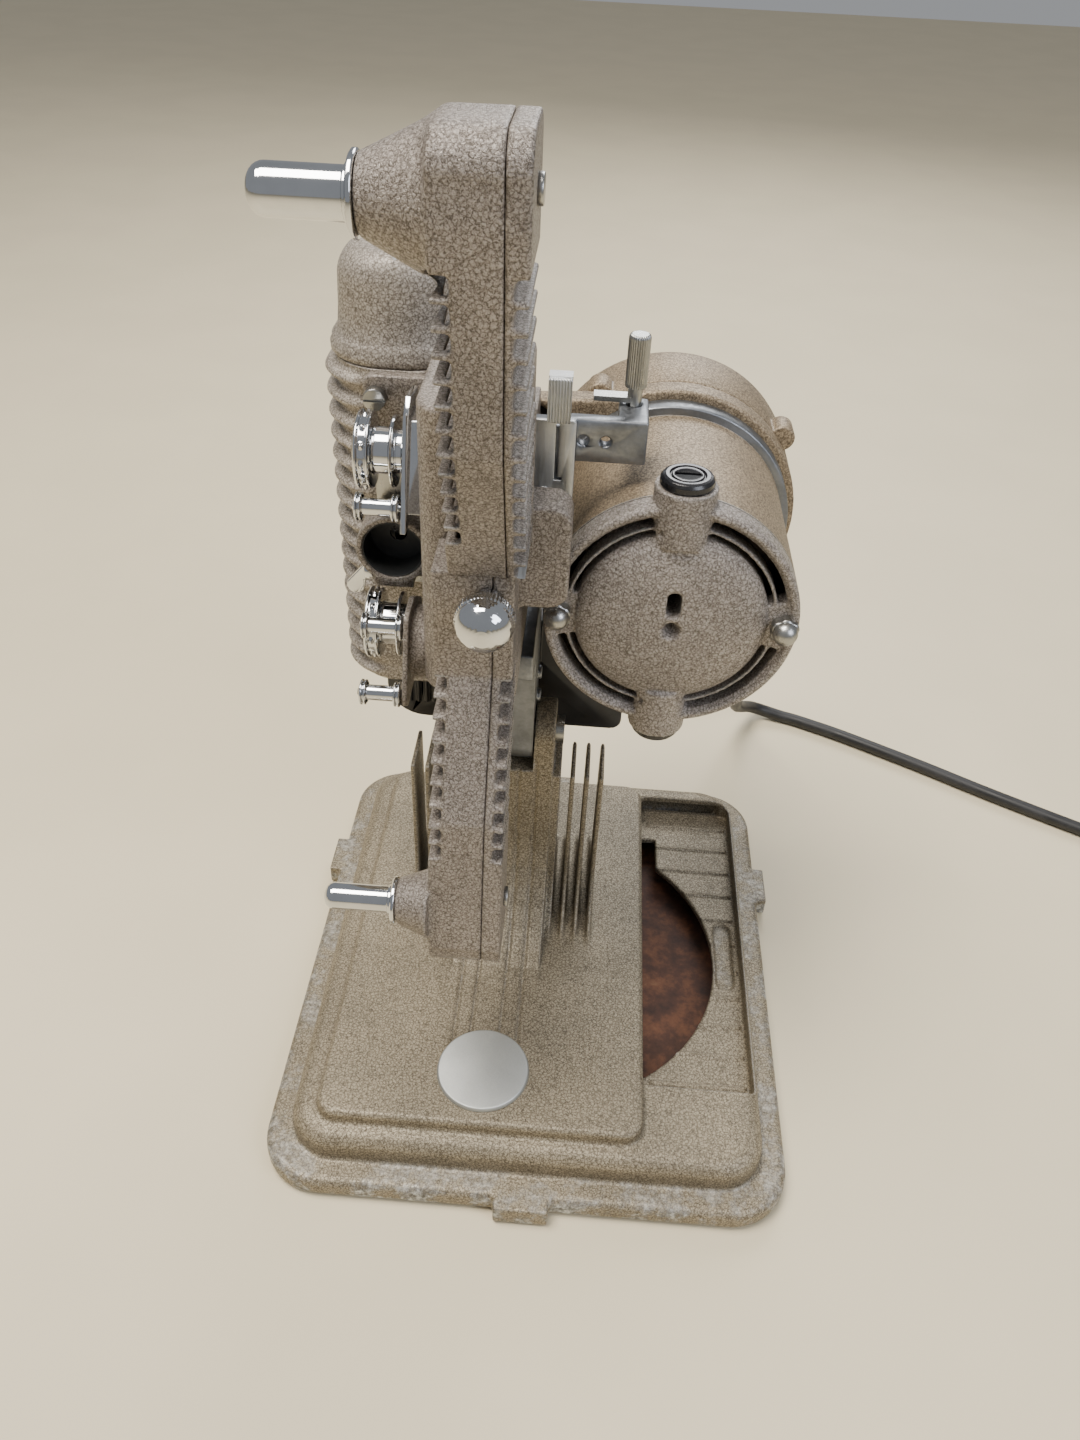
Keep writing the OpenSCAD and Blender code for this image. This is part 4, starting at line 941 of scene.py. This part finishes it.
def make_arms():
    """The reel arms: ribs cut deep at both corners, and a boss that flows into the head of the arm.

    A backing closes the wall behind the ribs, so that their gaps have a floor.
    """
    upper, upper_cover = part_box("upper_arm")[1].x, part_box("upper_arm_cover")[1].x
    lower_cover_low, lower_cover = (corner.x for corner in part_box("lower_arm_cover"))
    # Node, X of the cuts, height of the lowest rib, gaps, and (centre, radius) where the boss flows in
    plans = [
        ("upper_arm", (upper - 15.5 * MM, upper - 10.4 * MM), 226 * MM, 12,
         [((-32 * MM, -52 * MM, 290 * MM), 17 * MM), ((-27 * MM, -60 * MM, 314 * MM), 15 * MM)]),
        ("upper_arm_cover", (upper_cover - 3.2 * MM, upper_cover + 1 * MM), 214.8 * MM, 14, []),
        ("lower_arm", (lower_cover_low - 16.5 * MM, lower_cover_low - 12 * MM), 132 * MM, 9,
         [((-36 * MM, -64 * MM, 106 * MM), 12 * MM)]),
        ("lower_arm_cover", (lower_cover - 3.2 * MM, lower_cover + 1 * MM), 132 * MM, 9, []),
    ]
    for node, (x0, x1), first, count, blends in plans:
        arm = merged_copy(node, f"{node}_casting")
        carve(arm, boxes_tool("ribs", rib_cuts(x0, x1, first, count)), "DIFFERENCE")
        wall = (x0 - 1.3 * MM, x0) if node.endswith("cover") else (x1, x1 + 1.6 * MM)
        join(arm, boxes_tool("backing", backing_boxes(arm, wall, first, count)))
        soften(arm, 0.6 * MM, 3, blends)
        stand_for(dress(arm, MATERIALS["arm_enamel"]), node)


def lamp_ring(inset, front, height, flat):
    """One ring of the lamp house, pushed back to a flat plane on the right of its front."""
    low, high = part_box("lamp_house")
    ring = outline(
        low.x + inset, high.x - front, low.y + front, high.y - inset, LAMP_CORNER - inset / 2, height, 14
    )
    hidden = (ring[:, 0] > LAMP_FLAT_X) & (ring[:, 1] < flat)
    ring[hidden, 1] = flat
    return ring


def make_lamp_house():
    """Bellows-like fins: the inset of the skin follows a rounded wave up the house; the inside is plain."""
    low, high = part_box("lamp_house")
    flat = low.y + 1.2 * MM
    fins, steps_per_fin, out, front, wall = 16, 12, 4 * MM, 1 * MM, 2 * MM
    share = np.linspace(0, 1, fins * steps_per_fin + 1)
    crest = np.abs(np.cos(np.pi * (share * fins - 0.36))) ** 2.6
    heights = low.z + share * (high.z - low.z)
    rings = [lamp_ring(out * (1 - c), front * (1 - c), z, flat) for c, z in zip(crest, heights)]
    rings += [lamp_ring(out + wall, front + wall, z, flat + wall) for z in (high.z, low.z + wall)]
    stand_for(ring_loft("lamp_house_bellows", rings, MATERIALS["lamp_enamel"]), "lamp_house")


def make_lamp_cap():
    """A deep pressed cap: a bead at its lip, a drawn shoulder and a rounded crown, hollow inside.

    Its rings are (inset, height) pairs in millimetres; the crown is a quarter ellipse.
    """
    low, high = (corner.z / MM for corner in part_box("lamp_cap"))
    house_low, house_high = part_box("lamp_house")
    crown = high - 9
    skin = [(2.6, low), (2.1, low + 0.6), (2, low + 2.4), (2.6, low + 3.2), (2.6, low + 4.4),
            (3.6, low + 5.4), (4.4, low + 6.6), (4.9, low + 12), (5.3, crown)]
    skin += [(5.3 + 8 * (1 - math.cos(a)), crown + 9 * math.sin(a)) for a in np.radians(np.arange(10, 91, 10))]
    inside = [(16, high - 2.5), (9, high - 5), (7.3, crown - 1), (6.5, low)]

    def ring(inset, height):
        front = max(0.5, inset * 0.55) * MM
        return outline(house_low.x + inset * MM, house_high.x - front, house_low.y + front,
                       house_high.y - inset * MM, LAMP_CORNER - inset / 3 * MM, height * MM)

    cap = ring_loft("lamp_cap_pressing", [ring(*p) for p in inside + skin], MATERIALS["lamp_enamel"])
    stand_for(cap, "lamp_cap")


def make_castings():
    """The housing, motor and bracket castings."""
    for node, voxel in (("mech_housing", 0.8), ("lens_holder", 0.5), ("lower_boss", 0.5), ("drive_case", 0.8)):
        casting = soften(merged_copy(node, f"{node}_casting"), voxel * MM, 3)
        stand_for(dress(casting, finish_of(node)), node)
    for node in ("lamp_front", "blower_housing", "tilt_bracket", "motor_ring", "selector_bracket", "switch_box"):
        rounded_copy(node, bpy.context.scene.projector_sizes.cast_edge * 0.6)


# ---- the motor's end ----
def motor_face():
    """The middle of the motor's end face, level with its two nuts."""
    shell_low, shell_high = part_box("motor_shell")
    return (shell_low.x + shell_high.x) / 2, shell_low.y - 6 * MM, middle_of("acorn_nuts")[0].z


def make_motor_cover():
    """The domed end cover: beads stand up beside its two rings of slots, and screw holes are sunk in its face.

    A bead is a section of (height, radius) pairs in millimetres, and a plug closes the end of the shaft's bore.
    """
    centre = motor_face()
    cover = merged_copy("motor_cover", "motor_cover_casting")
    for radius, thick, out in ((34.6, 1.3, 1.5), (29.5, 0.8, 1.1)):
        bead = [(-1.5, radius - thick), (0.6 * out, radius - thick), (out, radius - thick * 0.5),
                (out, radius + thick * 0.5), (0.6 * out, radius + thick), (-1.5, radius + thick)]
        join(cover, tube("bead", MM * np.array(bead), centre, (0, -1, 0), MATERIALS["motor_enamel"]))
    join(cover, boxes_tool("shaft_end", [block(centre, (-3.6, -5.6, -3.6), (3.6, -3.6, 3.2))]))
    holes = [block(centre, (-6.6, -7.2, z), (-5, -1, z + 2)) for z in (27, -29)]
    carve(cover, boxes_tool("screw_holes", holes), "DIFFERENCE")
    soften(cover, 0.5 * MM, 2)
    stand_for(dress(cover, MATERIALS["motor_enamel"]), "motor_cover")


def make_brush_caps():
    """The two caps over the motor's brushes: turned discs with a sunk ring and a slot for a coin."""
    low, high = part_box("brush_caps")
    x, _, z = motor_face()
    centre = (x, (low.y + high.y) / 2, z)
    rim, thick = (high.x - low.x) / 2 / MM, 3
    section = [(0, 0.2), (0, rim - 0.3), (0.5, rim), (1.9, rim - 0.1), (2.7, rim - 0.7), (thick, rim - 1.5),
               (2.95, 4.9), (2.4, 4.7), (2.4, 4.3), (2.9, 4.1), (2.95, 0.2)]
    caps = []
    for up, top in ((1, high.z), (-1, low.z)):
        seat = up * (top - z) / MM - thick
        cap = turned("brush_cap", MM * (np.array(section) + [seat, 0]), centre, (0, 0, up), MATERIALS["phenolic"])
        ends = sorted((up * (seat + 2), up * (seat + 4)))
        slot = block(centre, (-3.4, -0.6, ends[0]), (3.4, 0.6, ends[1]))
        caps.append(carve(cap, boxes_tool("slot", [slot]), "DIFFERENCE"))
    stand_for(dress(reduce(join, caps), MATERIALS["phenolic"]), "brush_caps")


def make_acorn_nuts():
    """The two nuts of the end cover: a hexagon, whose radius dips at its flats, under a round dome."""
    low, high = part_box("acorn_nuts")
    x, y, z = motor_face()
    reach = (high.x - low.x) / 2 - 4.2 * MM
    section = [(0, 0.2), (0, 4.1), (2.6, 4.1), (3, 3.8)]
    section += [(3 + 3.6 * math.sin(a), 3.6 * math.cos(a)) for a in np.radians(np.arange(0, 88, 8))]

    def flats(angle, along):
        return np.where(along <= 3.05 * MM, 1 - 0.11 * (0.5 + 0.5 * np.cos(6 * angle)) ** 2, 1.0)

    nuts = []
    for side in (-1, 1):
        place = (x + side * reach, y, z)
        nuts.append(turned("acorn_nut", MM * np.array(section), place, (0, -1, 0), MATERIALS["steel"], 72, flats))
    stand_for(dress(reduce(join, nuts), MATERIALS["steel"]), "acorn_nuts")


# ---- film path and controls ----
# X and Z of the lens axis, and the radius of the holder's lining
LENS_AXIS, LENS_LINING = (-51 * MM, 190 * MM), 9.15 * MM
# X and Y of the clutch's post, its height and its radius
CLUTCH_AXIS, CLUTCH_TALL, CLUTCH_RIM = (16 * MM, 5 * MM), 14 * MM, 2.7 * MM


def along_x(node):
    """Where a piece turned about an X axis starts, and its length and radius in millimetres."""
    low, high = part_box(node)
    middle, rim = middle_of(node)
    return (low.x, middle.y, middle.z), (high.x - low.x) / MM, rim / MM


def make_sprockets():
    """Chrome sprockets: a turned drum whose raised band swells into twelve teeth."""

    def teeth(angle, along):
        band = np.exp(-(((along - 2.2 * MM) / (0.55 * MM)) ** 4))
        return 1 + 0.095 * band * (0.5 + 0.5 * np.cos(12 * angle)) ** 8

    for node in ("upper_sprocket", "lower_sprocket"):
        start, end, rim = along_x(node)
        section = [(0, 0.3), (0, rim - 4.6), (0.3, rim - 4.4), (0.3, rim - 2), (0, rim - 1.8), (0, rim - 0.8),
                   (0.4, rim - 0.3), (0.9, rim - 0.3), (1.2, rim - 1)]
        section += [(a, rim - 1) for a in np.arange(1.3, 3.2, 0.2)]
        section += [(3.2, rim - 1), (3.5, rim - 0.5), (3.9, rim - 0.5), (4.2, rim - 1), (4.4, rim - 4.2),
                    (5, rim - 4.6), (9, rim - 4.6), (9.3, rim - 4.2), (9.4, rim - 1.4), (9.8, rim - 1.1),
                    (10.4, rim - 1.4), (10.5, rim - 5), (12.4, rim - 5), (12.6, 3.1), (end, 3.1), (end, 0.3)]
        sprocket = turned(
            f"{node}_turned", MM * np.array(section), start, (1, 0, 0), MATERIALS["chrome"], 144, teeth
        )
        stand_for(sprocket, node)


def make_rollers():
    """Film rollers: a bored drum with a double rim at each end."""
    for node in ("upper_roller", "lower_roller_a", "lower_roller_b"):
        start, end, rim = along_x(node)
        lip = [(0, rim - 0.5), (0.25, rim), (0.75, rim), (0.95, rim - 0.7), (1.15, rim - 0.7), (1.35, rim - 0.1),
               (1.8, rim - 0.1), (2.05, rim - 0.6), (2.1, rim - 1.5)]
        section = [(0, 1.3)] + lip + [(end - a, r) for a, r in lip[::-1]] + [(end, 1.3)]
        stand_for(tube(f"{node}_turned", MM * np.array(section), start, (1, 0, 0), MATERIALS["chrome"]), node)


def make_spindles():
    """Reel spindles: a rounded tip, a polished shank and a flange against the arm."""
    for node in ("feed_spindle", "takeup_spindle"):
        start, end, rim = along_x(node)
        shank, root = rim - 3, 20
        section = [(0, 0.2)]
        section += [(shank * 0.7 * (1 - math.cos(a)), 0.25 * shank + 0.75 * shank * math.sin(a))
                    for a in np.linspace(0, np.pi / 2, 8)]
        section += [(root - 1.2, shank), (root - 0.9, shank + 0.5), (root, shank + 0.6), (root, rim - 0.5),
                    (root + 0.4, rim), (root + 1.1, rim), (root + 1.4, rim - 0.4), (root + 1.6, shank * 0.6),
                    (end, shank * 0.6), (end, 0.2)]
        stand_for(turned(f"{node}_turned", MM * np.array(section), start, (1, 0, 0), MATERIALS["chrome"]), node)


def make_threading_knob():
    """A domed knob: its rim is a cosine knurl, and its dome is a quarter ellipse."""
    low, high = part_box("threading_knob")
    middle, rim = middle_of("threading_knob")
    deep = high.y - low.y
    section = [(0, 0.3 * MM), (0, 0.5 * rim), (0.35 * deep, 0.55 * rim), (0.42 * deep, 0.93 * rim),
               (0.45 * deep, rim), (0.52 * deep, rim), (0.58 * deep, rim), (0.6 * deep, 0.97 * rim)]
    section += [((0.62 + 0.38 * math.sin(a)) * deep, 0.95 * rim * math.cos(a))
                for a in np.linspace(0, np.pi / 2, 12)[:-1]]

    def knurl(angle, along):
        edge = np.exp(-(((along - 0.52 * deep) / (0.09 * deep)) ** 4))
        return 1 - 0.03 * edge * (0.5 + 0.5 * np.cos(48 * angle))

    place = (middle.x, high.y, middle.z)
    knob = turned("threading_knob_turned", section, place, (0, -1, 0), MATERIALS["chrome"], 288, knurl)
    stand_for(knob, "threading_knob")


def make_clutch_post():
    """The clutch's lever, cut off above its collar, and its post, whose radius is a cosine knurl."""
    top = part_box("clutch_post")[1].z
    foot = (*CLUTCH_AXIS, top - CLUTCH_TALL)
    lever = merged_copy("clutch_post", "clutch_lever")
    carve(lever, boxes_tool("over", [block(foot, (-6, -5, 0.1), (6, 5, CLUTCH_TALL / MM + 1))]), "DIFFERENCE")
    stand_for(dress(lever, MATERIALS["steel"]), "clutch_post")
    section = [(0, 0.2 * MM)]
    section += [(CLUTCH_TALL * share, CLUTCH_RIM) for share in (0, 0.08, 0.1, 0.5, 0.9, 0.94)]
    section += [(CLUTCH_TALL * 0.98, CLUTCH_RIM * 0.92), (CLUTCH_TALL, CLUTCH_RIM * 0.8), (CLUTCH_TALL, 0.2 * MM)]

    def knurl(angle, along):
        return 1.1 - 0.1 * (0.5 + 0.5 * np.cos(28 * angle)) * (along > 0.05 * CLUTCH_TALL)

    post = turned("clutch_post_knurl", section, foot, (0, 0, 1), MATERIALS["steel"], 192, knurl)
    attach(post, NODES["clutch_post"]["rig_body"])


def make_lens_seat():
    """A blackened tube inside the lens holder, with a ring at its back round the light path."""
    low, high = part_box("lens_holder")
    x, z = LENS_AXIS
    front, deep, thick, light_path = 0.5 * MM, high.y - low.y - 1 * MM, 0.35 * MM, 2.6 * MM
    back = deep - 0.6 * MM
    section = [(front, LENS_LINING), (deep, LENS_LINING), (deep, light_path), (back, light_path),
               (back, LENS_LINING - thick), (front, LENS_LINING - thick)]
    liner = tube("lens_seat_liner", section, (x, low.y, z), (0, 1, 0), MATERIALS["flock"])
    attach(liner, NODES["lens_holder"]["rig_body"])


def make_slider():
    """The thumb slider of the selector: a bent tab of brushed steel sheet whose front is eight cosine ribs for the
    thumb.
    """
    low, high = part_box("selector_slider")
    steps = np.linspace(0, 1, 97)
    front = low.y + 0.35 * MM * (0.5 - 0.5 * np.cos(2 * np.pi * 8 * steps))
    x = low.x + (high.x - low.x) * steps
    back = low.y + 2.7 * MM
    plan = np.vstack([np.column_stack([x, front]), np.column_stack([x[::-1], np.full(len(x), back)])])
    middle = np.array([(low.x + high.x) / 2, (low.y + back) / 2])
    ends = high.z - 0.02 * MM
    rows = [(low.z, 0.9), (low.z + 0.3 * MM, 1), (ends - 0.4 * MM, 1), (ends, 0.9)]
    rings = [np.column_stack([middle + (plan - middle) * k, np.full(len(plan), h)]) for h, k in rows]
    tab = ring_loft("selector_thumb_tab", rings, MATERIALS["chrome"])
    top = ((low.x, back - 0.4 * MM, high.z - 1.6 * MM), (high.x, high.y, high.z))
    join(tab, boxes_tool("top", [top]))
    stand_for(dress(tab, MATERIALS["brushed"]), "selector_slider")


def make_machined():
    """Turned and sheet pieces with fine edges, and the slot across the lamp front's thumbscrew."""
    edge = bpy.context.scene.projector_sizes.machined_edge
    for node in ("sprocket_plate", "lens_lever", "selector_plate", "gate_plate", "arm_screws", "speed_knob"):
        rounded_copy(node, edge)
    middle = middle_of("thumbscrew")[0]
    head = (middle.x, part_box("thumbscrew")[0].y, middle.z)
    screw = settle(rounded_copy("thumbscrew", edge))
    carve(screw, boxes_tool("slot", [block(head, (-4, -1, -0.5), (4, 0.8, 0.5))]), "DIFFERENCE")
    dress(screw, MATERIALS["steel"])


def paint_frame():
    """Every CAD node takes its finish, so that the ones left showing are finished too."""
    for node, piece in NODES.items():
        dress(piece, finish_of(node))


# ---- operators ----
class PROJECTOR_OT_camera(bpy.types.Operator):
    """Place the camera"""

    bl_idname = "projector.camera"
    bl_label = "Camera"

    def execute(self, context):
        make_camera()
        return {"FINISHED"}


class PROJECTOR_OT_finishes(bpy.types.Operator):
    """Make the materials and give every CAD piece its own"""

    bl_idname = "projector.finishes"
    bl_label = "Finishes"

    def execute(self, context):
        MATERIALS.update(make_materials())
        paint_frame()
        return {"FINISHED"}


class PROJECTOR_OT_cord(bpy.types.Operator):
    """Lay the mains lead with its strain relief and plug"""

    bl_idname = "projector.cord"
    bl_label = "Mains lead"

    def execute(self, context):
        make_cord()
        return {"FINISHED"}


class PROJECTOR_OT_stage(bpy.types.Operator):
    """Set up the floor and the lights"""

    bl_idname = "projector.stage"
    bl_label = "Stage"

    def execute(self, context):
        make_stage()
        return {"FINISHED"}


class PROJECTOR_OT_base(bpy.types.Operator):
    """Finish the cast base and its badge"""

    bl_idname = "projector.base"
    bl_label = "Base"

    def execute(self, context):
        make_base()
        return {"FINISHED"}


class PROJECTOR_OT_arms(bpy.types.Operator):
    """Finish the two reel arms and their covers"""

    bl_idname = "projector.arms"
    bl_label = "Reel arms"

    def execute(self, context):
        make_arms()
        return {"FINISHED"}


class PROJECTOR_OT_lamp_house(bpy.types.Operator):
    """Make the finned lamp house and its cap"""

    bl_idname = "projector.lamp_house"
    bl_label = "Lamp house"

    def execute(self, context):
        make_lamp_house()
        make_lamp_cap()
        return {"FINISHED"}


class PROJECTOR_OT_castings(bpy.types.Operator):
    """Finish the castings of the head"""

    bl_idname = "projector.castings"
    bl_label = "Castings"

    def execute(self, context):
        make_castings()
        return {"FINISHED"}


class PROJECTOR_OT_motor_cover(bpy.types.Operator):
    """Make the motor's end cover, brush caps and acorn nuts"""

    bl_idname = "projector.motor_cover"
    bl_label = "Motor cover"

    def execute(self, context):
        make_motor_cover()
        make_brush_caps()
        make_acorn_nuts()
        return {"FINISHED"}


class PROJECTOR_OT_film_path(bpy.types.Operator):
    """Make the sprockets, rollers, spindles and knobs"""

    bl_idname = "projector.film_path"
    bl_label = "Film path"

    def execute(self, context):
        make_sprockets()
        make_rollers()
        make_spindles()
        make_threading_knob()
        make_clutch_post()
        make_lens_seat()
        make_slider()
        return {"FINISHED"}


class PROJECTOR_OT_machined(bpy.types.Operator):
    """Finish the turned and sheet-metal pieces"""

    bl_idname = "projector.machined"
    bl_label = "Machined pieces"

    def execute(self, context):
        make_machined()
        return {"FINISHED"}


OPERATORS = (
    PROJECTOR_OT_camera, PROJECTOR_OT_finishes, PROJECTOR_OT_cord, PROJECTOR_OT_stage, PROJECTOR_OT_base,
    PROJECTOR_OT_arms, PROJECTOR_OT_lamp_house, PROJECTOR_OT_castings, PROJECTOR_OT_motor_cover,
    PROJECTOR_OT_film_path, PROJECTOR_OT_machined,
)


class PROJECTOR_PT_panel(bpy.types.Panel):
    """The projector's steps and settings"""

    bl_idname = "PROJECTOR_PT_panel"
    bl_label = "Projector"
    bl_space_type = "VIEW_3D"
    bl_region_type = "UI"
    bl_category = "Projector"

    def draw(self, context):
        for group in (context.scene.projector_sizes, context.scene.projector_colours):
            for key in group.__annotations__:
                self.layout.prop(group, key)
        for operator in OPERATORS:
            self.layout.operator(operator.bl_idname)


CLASSES = (ProjectorSizes, ProjectorColours, *OPERATORS, PROJECTOR_PT_panel)


def register():
    for item in CLASSES:
        bpy.utils.register_class(item)
    bpy.types.Scene.projector_sizes = PointerProperty(type=ProjectorSizes)
    bpy.types.Scene.projector_colours = PointerProperty(type=ProjectorColours)


def unregister():
    del bpy.types.Scene.projector_colours
    del bpy.types.Scene.projector_sizes
    for item in reversed(CLASSES):
        bpy.utils.unregister_class(item)


def main():
    register()
    bpy.ops.projector.camera()
    bpy.ops.projector.finishes()
    bpy.ops.projector.cord()
    bpy.ops.projector.stage()
    bpy.ops.projector.base()
    bpy.ops.projector.arms()
    bpy.ops.projector.lamp_house()
    bpy.ops.projector.castings()
    bpy.ops.projector.motor_cover()
    bpy.ops.projector.film_path()
    bpy.ops.projector.machined()


if __name__ == "__main__":
    main()
